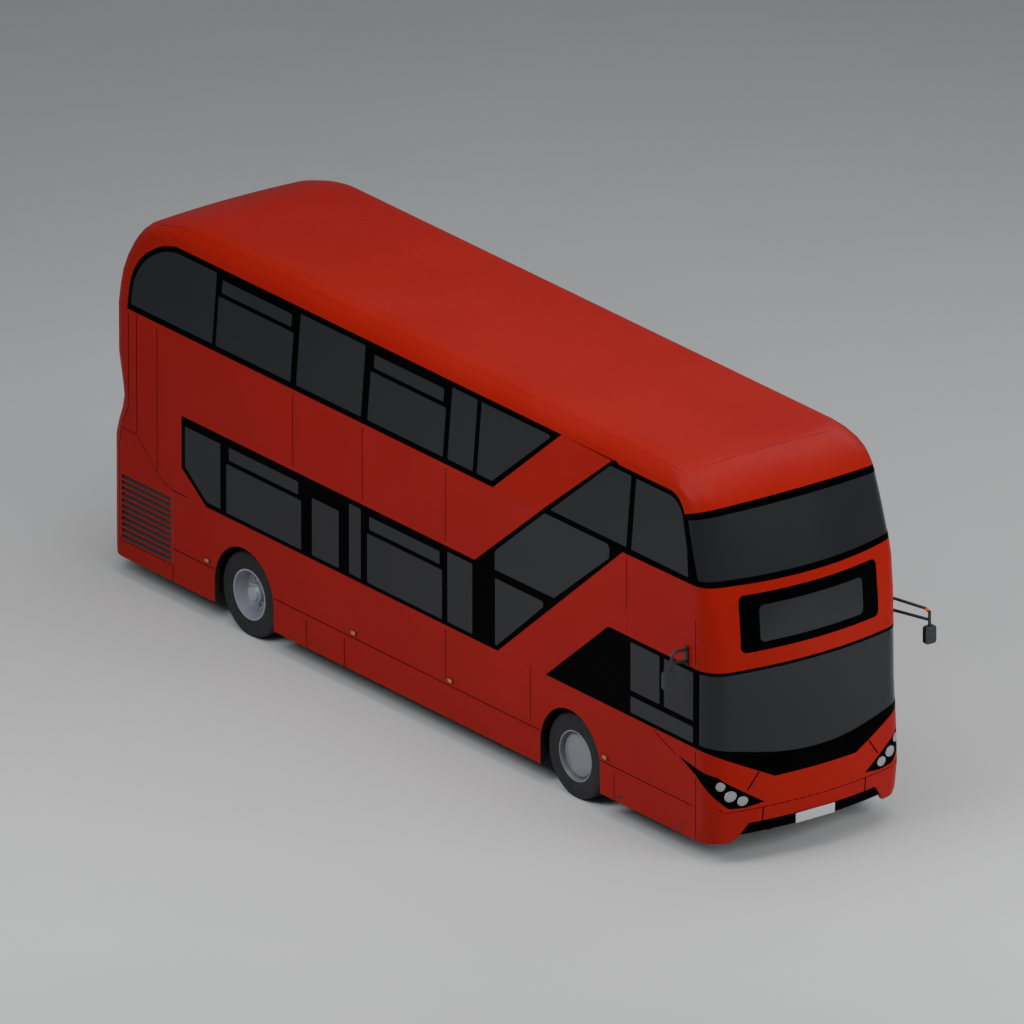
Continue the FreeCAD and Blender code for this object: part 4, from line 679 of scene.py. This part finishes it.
# ------------------------------------------------------------
# Louvre blades. Eleven folded aluminium blades stand behind the slots of each rear flap, tilted to shed rain,
# and are riveted to three upright stays out of sight.
SIDES = {"offside": -1, "nearside": 1}
BLADE_COUNT = 11
BLADE_FIRST = 0.475
BLADE_PITCH = 0.0688
BLADE_TILT = math.radians(49)
BLADE_X = 1.2535
BLADE_Y = 4.6735
STAY_X = 1.217
STAY_HEIGHT = BLADE_PITCH * BLADE_COUNT
STAY_Z = BLADE_FIRST + BLADE_PITCH * (BLADE_COUNT - 1) / 2
# The blades' grey is painted lighter, to offset the shade they stand in behind the slots.
louvre_grey_painted_light = moulded("louvre_grey_painted_light", (0.042, 0.043, 0.049), 0.6, 300.0, 0.0003, 0.0, 0.1, 0.05)
for side, sign in SIDES.items():
    blades = bmesh.new()
    tilt = Matrix.Rotation(sign * BLADE_TILT, 3, "Y")
    for i in range(BLADE_COUNT):
        place = (sign * BLADE_X, BLADE_Y, BLADE_FIRST + BLADE_PITCH * i)
        add_block(blades, place, (0.055, 0.862, 0.003), 0.001, 0, tilt)
    for y in (4.30, BLADE_Y, 5.05):
        add_block(blades, (sign * STAY_X, y, STAY_Z), (0.010, 0.020, STAY_HEIGHT), 0.002)
    finish_form(blades, side + "_louvre_blades", [louvre_grey_painted_light], side + "_rear_flap")

# ------------------------------------------------------------
# Mirrors. Moulded black heads on bent, coated steel arms, with a bright glass set into the back of each head
# in a thin gasket. An amber repeater sits at the top of the nearside arm.
mirror_shell = moulded("mirror_shell", (0.016, 0.017, 0.019), 0.4, 600.0, 0.0002, 0.1)
dress(["mirrors"], mirror_shell)
mirror_glass = metal("mirror_glass", 14.0, ((0.70, 0.72, 0.74, 1), (0.80, 0.81, 0.82, 1)), 0.3, (0.03, 0.09))
MIRROR_HEADS = [(-1.530, -4.830, 2.085), (1.530, -5.375, 2.035)]
mirror_form = bmesh.new()
for x, y, z in MIRROR_HEADS:
    add_block(mirror_form, (x, y + 0.001, z), (0.120, 0.006, 0.180), 0.0025, 0)
    add_block(mirror_form, (x, y + 0.003, z + 0.023), (0.110, 0.006, 0.124), 0.0015, 1)
    add_block(mirror_form, (x, y + 0.003, z - 0.065), (0.110, 0.006, 0.040), 0.0015, 1)
    for height in (-0.045, 0.045):
        add_block(mirror_form, (x, y - 0.061, z + height), (0.070, 0.004, 0.008), 0.0015, 0)
add_block(mirror_form, (1.503, -5.392, 2.322), (0.046, 0.022, 0.030), 0.005, 2, Matrix.Rotation(-0.9, 3, "Z"))
finish_form(mirror_form, "mirror_glasses", [black_plastic, mirror_glass, amber_lens])

# ------------------------------------------------------------
# Wheels. Pressed steel discs in silver paint. A pressed cover closes the front one, and the rear twins are dished
# inwards, on ten nuts. The tubeless tyres have ribbed treads, cut with zigzag grooves and sipes.
WHEEL_X = 1.0785
TWIN_X = 0.7685
TYRE_RADIUS = 0.4785
NUTS = 10
TREAD_STEPS = 144
# A tyre's section up to its tread, on one side: distance from the middle plane, radius.
TYRE_SECTION = [(-0.1280, 0.2860), (-0.1345, 0.3000), (-0.1372, 0.3250), (-0.1350, 0.3400), (-0.1368, 0.3480),
                (-0.1375, 0.3750), (-0.1368, 0.4000), (-0.1340, 0.4080), (-0.1330, 0.4350), (-0.1270, 0.4600),
                (-0.1180, 0.4720), (-0.1080, 0.4770)]
GROOVES = [-0.066, -0.022, 0.022, 0.066]
GROOVE_HALF = 0.0055
GROOVE_FOOT = 0.6 * GROOVE_HALF
GROOVE_DEPTH = 0.012
ZIGZAG = 0.0035
SHOULDER = 0.470
SIPE_DEPTH = 0.004
tyre_rubber, tree, shader = new_material("tyre_rubber", Specular_IOR_Level=0.25)
worn = ramp(tree, noise(tree, local_place(tree), 9.0, 6.0), 0.3, 0.75)
dusted = effect(tree, road_film, Colour=mixed(tree, worn, (0.017, 0.017, 0.019, 1), (0.026, 0.026, 0.029, 1)),
                Film_Colour=(0.085, 0.082, 0.080, 1), Reach=1.2, Amount=0.25)
wire(tree, shader, Base_Color=dusted["Colour"], Roughness=ramp(tree, worn, 0.0, 1.0, 0.68, 0.86))
bump(tree, shader, noise(tree, local_place(tree), 240.0, 2.0), 0.25, 0.0005)
# The whole section, with whether a point lies in a groove.
section = [(x, radius, False) for x, radius in TYRE_SECTION]
for groove in GROOVES:
    for x, depth in ((-GROOVE_HALF, 0), (-GROOVE_FOOT, GROOVE_DEPTH), (GROOVE_FOOT, GROOVE_DEPTH), (GROOVE_HALF, 0)):
        section.append((groove + x, TYRE_RADIUS - depth, True))
section += [(-x, radius, False) for x, radius in reversed(TYRE_SECTION)]


def add_tyre(form, x, axle):
    """A treaded tyre, closed by its bead seat."""
    rings = []
    for k in range(TREAD_STEPS):
        turn = 2 * math.pi * k / TREAD_STEPS
        swing = ZIGZAG * (1, 0, -1, 0)[k % 4]
        ring = []
        for out, radius, grooved in section:
            if grooved:
                out += swing
            elif radius > SHOULDER and k % 4 == 0:
                radius -= SIPE_DEPTH
            ring.append(form.verts.new(axle + Vector((x + out, radius * math.cos(turn), radius * math.sin(turn)))))
        rings.append(ring)
    join_rings(form, rings + rings[:1], [0] * TREAD_STEPS)


# One silver paint in two tones as painted light: the rear is lighter against the shade in its dish and arch, the
# front a little darker, as it stands in more light.
WHEEL_TONES_PAINTED_LIGHT = {"front": ((0.215, 0.22, 0.255, 1), (0.25, 0.255, 0.285, 1)),
               "rear": ((0.30, 0.31, 0.355, 1), (0.35, 0.36, 0.405, 1))}
wheel_paints = {}
for end, tones in WHEEL_TONES_PAINTED_LIGHT.items():
    paint, tree, shader = new_material(end + "_wheel_paint", Metallic=0.35, Coat_Weight=0.15, Coat_Roughness=0.2)
    flake = noise(tree, local_place(tree), 3.0, 6.0)
    dusted = effect(tree, road_film, Colour=mixed(tree, flake, *tones), Reach=1.0, Amount=0.10)
    wire(tree, shader, Base_Color=dusted["Colour"], Roughness=ramp(tree, flake, 0.2, 0.8, 0.36, 0.48))
    wheel_paints[end] = paint
dress(["offside_front_rim", "nearside_front_rim"], wheel_paints["front"])
dress(["offside_rear_rims", "nearside_rear_rims"], wheel_paints["rear"])
# Turned forms, each as (along the axle, radius).
COVER = [(-0.020, 0.2300), (-0.002, 0.2370), (0.003, 0.2365), (0.006, 0.2320), (0.007, 0.2220), (0.0055, 0.2180),
         (0.0075, 0.2140), (0.0100, 0.1500), (0.0110, 0.0860), (0.0095, 0.0840), (0.0095, 0.0800), (0.0125, 0.0780),
         (0.0135, 0.0)]
HUB = [(0.0, 0.094), (0.006, 0.092), (0.016, 0.084), (0.030, 0.080), (0.036, 0.072), (0.038, 0.046), (0.037, 0.020),
       (0.041, 0.017), (0.041, 0.0)]
# Nut: its flange, then its hexagon and stud, with the radii as shares of the size across the flats.
NUT_ACROSS = 0.028
FLANGE = [(0.0, 0.72), (0.003, 0.72), (0.004, 0.60)]
HEXAGON = [(0.003, 0.577), (0.016, 0.577), (0.018, 0.48), (0.018, 0.0055 / NUT_ACROSS), (0.024, 0.0050 / NUT_ACROSS),
           (0.025, 0.0)]


# Where tyres stand: the end, its plural, its axle, and the middles of its tyres.
TYRE_SETS = [("_front", "", FRONT_AXLE, [WHEEL_X]), ("_rear", "s", REAR_AXLE, [WHEEL_X, TWIN_X])]


def ring_places(centre, circle):
    """The places of a ring of nuts or rivets."""
    turns = [2 * math.pi * (k + 0.5) / NUTS for k in range(NUTS)]
    return [centre + Vector((0, math.cos(turn), math.sin(turn))) * circle for turn in turns]


for side, sign in SIDES.items():
    outward = Vector((sign, 0, 0))
    for end, plural, axle, middles in TYRE_SETS:
        tyres = bmesh.new()
        for x in middles:
            add_tyre(tyres, sign * x, axle)
        tread, wheel, tyre = (side + end + what + plural for what in ("_tread", "_wheel", "_tyre"))
        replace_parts(finish_form(tyres, tread, [tyre_rubber], wheel, 35), tyre)
    front_cover = bmesh.new()
    face = FRONT_AXLE + outward * (WHEEL_X + 0.081)
    add_turned(front_cover, COVER, face, outward, 64)
    for spot in ring_places(face + outward * 0.0095, 0.190):
        add_turned(front_cover, [(0.0, 0.0060), (0.002, 0.0055), (0.0028, 0.0030), (0.0018, 0.0)], spot, outward, 12)
    finish_form(front_cover, side + "_front_cover", [wheel_paints["front"]], side + "_front_wheel", 30)
    rear_hub = bmesh.new()
    add_turned(rear_hub, HUB, REAR_AXLE + outward * (WHEEL_X + 0.062), outward, 40)
    for spot in ring_places(REAR_AXLE + outward * (WHEEL_X - 0.013), 0.150):
        for profile, segments in ((FLANGE, 18), (HEXAGON, 6)):
            add_turned(rear_hub, [(rise, share * NUT_ACROSS) for rise, share in profile], spot, outward, segments)
    finish_form(rear_hub, side + "_rear_hub", [wheel_paints["rear"]], side + "_rear_wheels", 30)

# ------------------------------------------------------------
# Doors. Each leaf is a black-painted aluminium frame round a full pane of tinted glass, with finger guards of
# soft rubber down its edges. Leaves hang by arms from turned, powder-coated posts.
door_frame = moulded("door_frame", (0.010, 0.010, 0.011), 0.35, 700.0, 0.0001, 0.2)
rail_yellow = moulded("rail_yellow", (0.55, 0.27, 0.015), 0.38, 900.0, 0.0001, 0.0)
door_rubber = moulded("door_rubber", (0.014, 0.014, 0.014), 0.75, 240.0, 0.0004, 0.3)
GLASS_BORDER = 0.052
GLASS_FOOT = 0.510
GLASS_HEAD = 2.143 - GLASS_BORDER
GUARD_Z = 1.2705
GUARD_HEIGHT = 1.735


def leaf_picker(low, high):
    """Glass inside the border, frame elsewhere."""
    def pick(centre, normal):
        clear_side = low.y + GLASS_BORDER < centre.y < high.y - GLASS_BORDER
        clear_height = GLASS_FOOT < centre.z < GLASS_HEAD
        return 1 if clear_side and clear_height and abs(normal.x) > 0.9 else 0
    return pick


for spot in ("front_door_front", "front_door_rear", "exit_door_front", "exit_door_rear"):
    low, high = (Vector(corner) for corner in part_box(spot + "_leaf"))
    dress([spot + "_leaf"], door_frame, tinted_glass, pick=leaf_picker(low, high))
    dress([spot + "_post"], rail_yellow)
    guards = bmesh.new()
    for y in (low.y + 0.006, high.y - 0.006):
        add_block(guards, (1.2485, y, GUARD_Z), (0.026, 0.010, GUARD_HEIGHT), 0.004)
        add_block(guards, (1.2620, y, GUARD_Z), (0.004, 0.006, GUARD_HEIGHT), 0.0015)
    finish_form(guards, spot + "_finger_guards", [door_rubber], spot + "_leaf")

# ------------------------------------------------------------
# Running gear and batteries. Welded steel frame in chassis paint, with cast steel axles, knuckles and hinge pins,
# all with road dust, and a folded sheet case with cooling ribs round the traction battery.
chassis_paint = moulded("chassis_paint", (0.020, 0.021, 0.023), 0.6, 70.0, 0.0012, 0.6, 0.3)
cast_steel = moulded("cast_steel", (0.045, 0.045, 0.047), 0.6, 60.0, 0.0015, 0.5, 0.4)
battery_case = moulded("battery_case", (0.16, 0.17, 0.18), 0.4, 200.0, 0.0003, 0.4, 0.4)
dress(["chassis_frame"], chassis_paint)
dress(["front_axle", "rear_axle", "offside_knuckle", "nearside_knuckle", "hinge_pins"], cast_steel)
dress(["traction_battery"], battery_case)
RIB_COUNT = 9
RIB_FIRST = 0.12
RIB_PITCH = 0.11
case_form = bmesh.new()
case_low, case_high = (Vector(corner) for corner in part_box("traction_battery"))
for i in range(RIB_COUNT):
    z = case_low.z + RIB_FIRST + RIB_PITCH * i
    add_block(case_form, (0, case_high.y + 0.004, z), (1.60, 0.012, 0.030), 0.004)
    for sign in (-1, 1):
        place = (sign * (case_high.x + 0.004), (case_low.y + case_high.y) / 2, z)
        add_block(case_form, place, (0.012, 0.90, 0.030), 0.004)
finish_form(case_form, "battery_ribs", [battery_case])

# ------------------------------------------------------------
# Floors, stairs and linings. Speckled safety vinyl on both decks and the stair treads, with yellow nosings.
# Laminate lines the ceiling, grey mouldings cover the wheel boxes and cab, and underseal coats what faces down.
vinyl, tree, shader = new_material("floor_vinyl", Specular_IOR_Level=0.3)
place = local_place(tree)
specks = cell_distance(tree, place, 190.0)
trodden = noise(tree, place, 1.6, 4.0)
base = mixed(tree, trodden, (0.060, 0.075, 0.095, 1), (0.085, 0.095, 0.110, 1))
wire(tree, shader, Base_Color=mixed(tree, ramp(tree, specks, 0.10, 0.16), (0.45, 0.45, 0.43, 1), base),
     Roughness=ramp(tree, trodden, 0.3, 0.8, 0.45, 0.7))
bump(tree, shader, specks, 0.3, 0.0004)
ceiling = moulded("ceiling_laminate", (0.52, 0.52, 0.50), 0.45, 500.0, 0.0001)
grey_moulding = moulded("grey_moulding", (0.16, 0.17, 0.19), 0.5, 450.0, 0.0003)
dark_moulding = moulded("dark_moulding", (0.030, 0.031, 0.034), 0.55, 500.0, 0.0003)


def deck_face(centre, normal):
    """The second material on faces that look down."""
    return 1 if normal.z < -0.5 else 0


def box_face(centre, normal):
    """Underseal on the inner faces, round the wheel."""
    axle = min((FRONT_AXLE, REAR_AXLE), key=lambda spot: abs(centre.y - spot.y))
    towards = Vector((math.copysign(WHEEL_X, centre.x), axle.y, axle.z)) - centre
    return 1 if normal.dot(towards) > 0 and centre.z > 0.30 else 0


dress(["lower_floor"], vinyl, underseal_and_painted_shade, pick=deck_face)
dress(["upper_floor"], vinyl, ceiling, pick=deck_face)
dress(["staircase"], vinyl, grey_moulding, pick=lambda centre, normal: 0 if normal.z > 0.5 else 1)
dress(["wheel_boxes"], grey_moulding, underseal_and_painted_shade, pick=box_face)
dress(["driver_cab"], grey_moulding)
dress(["handrails"], rail_yellow)
LOWER_FLOOR = 0.360
UPPER_FLOOR = 2.400
LOWER_CEILING = 2.260
RISERS = 9
GOING = 0.240
STAIR_FOOT = 1.420
STAIR_X = -0.930
STAIR_RISE = (UPPER_FLOOR - LOWER_FLOOR) / RISERS
nosings = bmesh.new()
for i in range(RISERS - 1):
    place = (STAIR_X, -(STAIR_FOOT + GOING * i) - 0.015, LOWER_FLOOR + STAIR_RISE * (i + 1) + 0.0015)
    add_block(nosings, place, (0.545, 0.034, 0.004), 0.0015)
nosing_yellow = moulded("nosing_yellow", (0.60, 0.42, 0.03), 0.6, 220.0, 0.0005)
finish_form(nosings, "stair_nosings", [nosing_yellow])
# Poles of the lower deck, as (x, ahead), with a flange at each end and a bell push.
POLES = [(-0.290, -1.300), (-0.290, -0.550), (-0.290, 0.900), (0.290, -1.300), (0.290, 0.900), (0.290, 1.900),
         (0.290, 3.560)]
POLE_FLANGE = [(0.0, 0.040), (0.004, 0.040), (0.008, 0.034), (0.014, 0.0185)]
BELL_Z = 1.35
fittings = bmesh.new()
for x, ahead in POLES:
    for z, up in ((LOWER_FLOOR + 0.0003, 1), (LOWER_CEILING - 0.0003, -1)):
        add_turned(fittings, POLE_FLANGE, (x, -ahead, z), (0, 0, up), 24, 0)
    add_block(fittings, (x, -ahead + 0.026, BELL_Z), (0.034, 0.022, 0.085), 0.006, 1)
    place = (x, -ahead + 0.037, BELL_Z + 0.012)
    add_turned(fittings, [(0.0, 0.013), (0.005, 0.012), (0.006, 0.0)], place, (0, 1, 0), 20, 2)
finish_form(fittings, "pole_fittings", [satin_metal, dark_moulding, red_lens])

# ------------------------------------------------------------
# Driver's place. A moulded dashboard carries a hooded instrument panel with a blank screen and two dials, a
# rubber-rimmed wheel with a padded boss, and switches; pedals stand on the floor below.
def dash_face(centre, normal):
    """Rubber on the wheel and column, grained plastic on the dashboard."""
    return 1 if centre.y > -4.90 and centre.z > 0.85 else 0


dress(["dashboard"], grey_moulding, dark_moulding, pick=dash_face)
screen_black = moulded("screen_black", (0.006, 0.007, 0.009), 0.12, 900.0, 0.00002)
desk = bmesh.new()
lean = Matrix.Rotation(math.radians(-35), 3, "X")
add_block(desk, (-0.740, -5.020, 1.175), (0.420, 0.120, 0.130), 0.020, 0, lean)
add_block(desk, (-0.740, -4.958, 1.176), (0.170, 0.010, 0.095), 0.003, 1, lean)
for x in (-0.885, -0.595):
    add_turned(desk, [(0.0, 0.050), (0.006, 0.048), (0.006, 0.042), (0.003, 0.040), (0.003, 0.0)],
               (x, -4.962, 1.176), lean @ Vector((0, 1, 0)), 32, 2)
for i in range(4):
    for j in range(2):
        place = (-1.060 + 0.034 * i, -5.01 + 0.045 * j, 1.137)
        add_block(desk, place, (0.024, 0.034, 0.014), 0.004, 2)
for x in (-0.660, -0.820):
    add_block(desk, (x, -4.775, 0.440), (0.075, 0.018, 0.130), 0.006, 2, Matrix.Rotation(math.radians(35), 3, "X"))
    add_block(desk, (x, -4.792, 0.392), (0.020, 0.016, 0.060), 0.003, 0)
boss = Vector((-0.740, -4.640, 1.090))
column = (boss - Vector((-0.740, -4.900, 0.800))).normalized()
add_turned(desk, [(-0.020, 0.062), (0.012, 0.062), (0.020, 0.055), (0.023, 0.030), (0.023, 0.0)], boss, column, 32, 2)
finish_form(desk, "instrument_desk", [grey_moulding, screen_black, dark_moulding])

# ------------------------------------------------------------
# Passenger seats. Foam cushions and backrests in woven moquette, pressed into grey moulded shells on a single
# leg, two seats to a unit, with a grab handle at the gangway corner. The foam is shaped by a short cloth run.
SEAT_HALF = 0.43
SEAT_INNER = 0.330
LEG_X = 0.450
moquette, tree, shader = new_material("seat_moquette", Sheen_Weight=0.35, Sheen_Roughness=0.5,
                                      Specular_IOR_Level=0.2)
place = local_place(tree)
warp, weft = (value_node(tree, "ShaderNodeTexWave", [("Vector", place), ("Scale", 180.0), ("Distortion", 0.6)],
                         bands_direction=way).outputs["Fac"] for way in ("X", "DIAGONAL"))
weave = math_node(tree, "MULTIPLY", warp, weft)
fleck = ramp(tree, cell_distance(tree, place, 34.0), 0.18, 0.24)
ground = mixed(tree, weave, (0.030, 0.045, 0.105, 1), (0.060, 0.085, 0.170, 1))
wire(tree, shader, Base_Color=mixed(tree, fleck, (0.26, 0.040, 0.035, 1), ground),
     Roughness=ramp(tree, weave, 0.0, 1.0, 0.80, 0.95))
bump(tree, shader, weave, 0.5, 0.0008)
# How a pad is blown up, and the crown and the two sewn channels given to its upper face.
SLACK = 0.010
VOXEL = 0.020
PRESSURE = 4.0
CLOTH_STEPS = 20
SWELL_CAP = 0.010
CROWN = 0.010
CHANNEL_SHARE = 0.34
CHANNEL_HALF = 0.016
CHANNEL_DEPTH = 0.006


def foam_pad(name, width, length, thick):
    """One upholstered pad, flat at z = 0 below, blown up by cloth pressure and capped. Returns points, faces."""
    form = bmesh.new()
    add_block(form, (0, 0, thick / 2), (width - SLACK, length - SLACK, thick - SLACK), 0.016)
    mesh = bpy.data.meshes.new(name)
    form.to_mesh(mesh)
    form.free()
    pad = into_scene(bpy.data.objects.new(name, mesh))
    remesh = pad.modifiers.new("even", "REMESH")
    remesh.mode = "VOXEL"
    remesh.voxel_size = VOXEL
    bpy.context.view_layer.update()
    mesh = bpy.data.meshes.new_from_object(pad.evaluated_get(bpy.context.evaluated_depsgraph_get()))
    pad.modifiers.clear()
    pad.data = mesh
    rest = [vertex.co.copy() for vertex in mesh.vertices]
    blown = rest
    cloth = pad.modifiers.new("cloth", "CLOTH")
    cloth.settings.use_pressure = True
    cloth.settings.uniform_pressure_force = PRESSURE
    cloth.settings.effector_weights.gravity = 0.0
    cloth.settings.quality = 4
    for step in range(CLOTH_STEPS):
        bpy.context.scene.frame_set(step + 1)
    shaped = pad.evaluated_get(bpy.context.evaluated_depsgraph_get()).to_mesh()
    blown = [vertex.co.copy() for vertex in shaped.vertices]
    bpy.context.scene.frame_set(1)
    points = []
    for start, end in zip(rest, blown):
        shift = end - start
        if shift.length > SWELL_CAP:
            shift *= SWELL_CAP / shift.length
        spot = start + shift
        crown = max(0.0, 1 - (2 * spot.x / width) ** 2) * max(0.0, 1 - (2 * spot.y / length) ** 2)
        share = spot.z / thick
        spot.z = max(0.0, spot.z + share * CROWN * crown)
        edge = abs(abs(spot.x) - width * CHANNEL_SHARE)
        if share > 0.6 and edge < CHANNEL_HALF:
            spot.z -= CHANNEL_DEPTH * (1 - edge / CHANNEL_HALF)
        points.append(spot)
    faces = [tuple(face.vertices) for face in mesh.polygons]
    bpy.data.objects.remove(pad)
    return points, faces


BACK_LEAN = math.atan2(0.130, 0.525)
SEAT_LIFT = math.atan2(0.015, 0.375)
# Each pad: points and faces, foot (ahead, height), the lean of its length from level, which way its crown faces.
PADS = [(foam_pad("seat_pad_master", 0.405, 0.400, 0.062), (0.255, 0.437), SEAT_LIFT, 1),
        (foam_pad("back_pad_master", 0.405, 0.500, 0.050), (-0.026, 0.745), math.pi / 2 + BACK_LEAN, -1)]


def add_pads(points, faces, x, foot, floor, widen=1.0):
    """Sets both pads in a seat. Their length runs along the lean and their crown faces the sitter."""
    for (pad_points, pad_faces), (ahead, height), lean, facing in PADS:
        length_way = Vector((0, -math.cos(lean), math.sin(lean)))
        crown_way = Vector((0, math.sin(lean), math.cos(lean))) * facing
        turn = Matrix((length_way.cross(crown_way), length_way, crown_way)).transposed().to_4x4()
        place = Matrix.Translation(Vector((x, -(foot + ahead), floor + height))) @ turn
        place = place @ Matrix.Diagonal((widen, 1.0, 1.0, 1.0))
        base = len(points)
        points += [place @ point for point in pad_points]
        faces += [tuple(base + i for i in face) for face in pad_faces]


# Seats as (foot of the backrest, floor, side). On the upper deck the offside ones leave out the stairwell.
RAISED_FLOOR = 0.760
LOWER_SEATS = [(foot, RAISED_FLOOR, sign) for foot in (-3.920, -3.060) for sign in (-1, 1)]
LOWER_SEATS += [(foot, LOWER_FLOOR, -1) for foot in (-1.700, -0.950, -0.200, 0.550)]
LOWER_SEATS += [(foot, LOWER_FLOOR, 1) for foot in (-1.700, 0.850, 1.600)]
UPPER_ROWS = 12
UPPER_PITCH = 0.790
LAST_UPPER_ROW = -4.600
STAIRWELL = (1.480, 3.340)
UPPER_SEATS = []
for i in range(UPPER_ROWS):
    foot = LAST_UPPER_ROW + UPPER_PITCH * i
    UPPER_SEATS.append((foot, UPPER_FLOOR, 1))
    if foot + 0.460 < STAIRWELL[0] or foot - 0.140 > STAIRWELL[1]:
        UPPER_SEATS.append((foot, UPPER_FLOOR, -1))
# Shell section, (ahead, height) from the foot of the backrest.
SHELL = [Vector(corner) for corner in (
    (0.448, 0.412), (0.452, 0.440), (0.430, 0.448), (0.080, 0.432), (0.040, 0.450), (-0.085, 0.985),
    (-0.100, 1.008), (-0.124, 1.004), (-0.128, 0.985), (-0.004, 0.432), (0.010, 0.408), (0.050, 0.398))]
SHELL_MIDDLE = sum(SHELL, Vector((0, 0))) / len(SHELL)
END_WIDTH = 0.012
shell_grey = moulded("seat_shell", (0.10, 0.105, 0.115), 0.45, 600.0, 0.0002)


def add_shell(form, foot, floor, x0, x1):
    """Moulded shell: its section swept across the seat, with softened ends."""
    rings = []
    for x, drawn_in in ((x0, 0.006), (x0 + END_WIDTH, 0.0), (x1 - END_WIDTH, 0.0), (x1, 0.006)):
        spots = [corner + (SHELL_MIDDLE - corner).normalized() * drawn_in for corner in SHELL]
        rings.append([form.verts.new((x, -(foot + spot.x), floor + spot.y)) for spot in spots])
    join_rings(form, rings, [0] * len(rings))
    for ring in (rings[0], rings[-1]):
        form.faces.new(ring)


def add_bent_bar(form, corners, radius, kind):
    """Round bar along corners, with a turned joint at each."""
    for start, end in zip(corners, corners[1:]):
        start, end = Vector(start), Vector(end)
        length = (end - start).length
        add_turned(form, [(0, 0), (0, radius), (length, radius), (length, 0)], start, end - start, 12, kind)
    for corner in corners[1:-1]:
        add_turned(form, [(-radius, 0), (-radius * 0.7, radius * 0.7), (0, radius), (radius * 0.7, radius * 0.7),
                          (radius, 0)], corner, (0, 0, 1), 12, kind)


def build_seats(name, node, rows):
    """Pads and shells of one deck."""
    points, faces = [], []
    form = bmesh.new()
    for foot, floor, sign in rows:
        for seat in (0, 1):
            add_pads(points, faces, sign * (SEAT_INNER + SEAT_HALF * (seat + 0.5)), foot, floor)
        ends = sorted((sign * SEAT_INNER, sign * (SEAT_INNER + 2 * SEAT_HALF)))
        middle = (ends[0] + ends[1]) / 2
        add_shell(form, foot, floor, ends[0], middle - 0.003)
        add_shell(form, foot, floor, middle + 0.003, ends[1])
        leg_x, leg_y = sign * LEG_X, -(foot + 0.205)
        add_block(form, (leg_x, leg_y, floor + 0.200), (0.060, 0.080, 0.398), 0.012, 1)
        add_block(form, (leg_x, leg_y, floor + 0.006), (0.150, 0.108, 0.011), 0.004, 1)
        add_block(form, (leg_x, leg_y, floor + 0.394), (0.140, 0.240, 0.014), 0.004, 1)
        edge = sign * (SEAT_INNER + 0.018)
        add_bent_bar(form, [(edge, -(foot - 0.112), floor + 0.80), (edge, -(foot - 0.120), floor + 1.0),
                            (edge + sign * 0.16, -(foot - 0.120), floor + 1.0)], 0.009, 2)
    pads = new_piece(name + "_pads", points, faces, moquette)
    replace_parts(pads, node)
    finish_form(form, name + "_shells", [shell_grey, dark_moulding, rail_yellow])


build_seats("lower_seat", "lower_seats", LOWER_SEATS)
build_seats("upper_seat", "upper_seats", UPPER_SEATS)

# ------------------------------------------------------------
# Driver's seat. One wide pair of the same pads on a shell, on a pedestal in a pleated rubber boot.
DRIVER_FOOT = 3.830
DRIVER_X = -0.740
DRIVER_HALF = 0.250
PEDESTAL_Y = -4.050
PLEATS = 7
points, faces = [], []
add_pads(points, faces, DRIVER_X, DRIVER_FOOT, LOWER_FLOOR, widen=1.12)
driver_pads = new_piece("driver_seat_pads", points, faces, moquette)
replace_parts(driver_pads, "driver_seat")
pedestal = bmesh.new()
add_shell(pedestal, DRIVER_FOOT, LOWER_FLOOR, DRIVER_X - DRIVER_HALF, DRIVER_X + DRIVER_HALF)
add_block(pedestal, (DRIVER_X, PEDESTAL_Y, 0.372), (0.300, 0.260, 0.024), 0.006, 1)
for i in range(PLEATS):
    fold = 0.02 * (i % 2)
    add_block(pedestal, (DRIVER_X, PEDESTAL_Y, 0.402 + 0.050 * i), (0.200 - fold, 0.180 - fold, 0.050), 0.014, 1)
finish_form(pedestal, "driver_seat_pedestal", [shell_grey, dark_moulding])
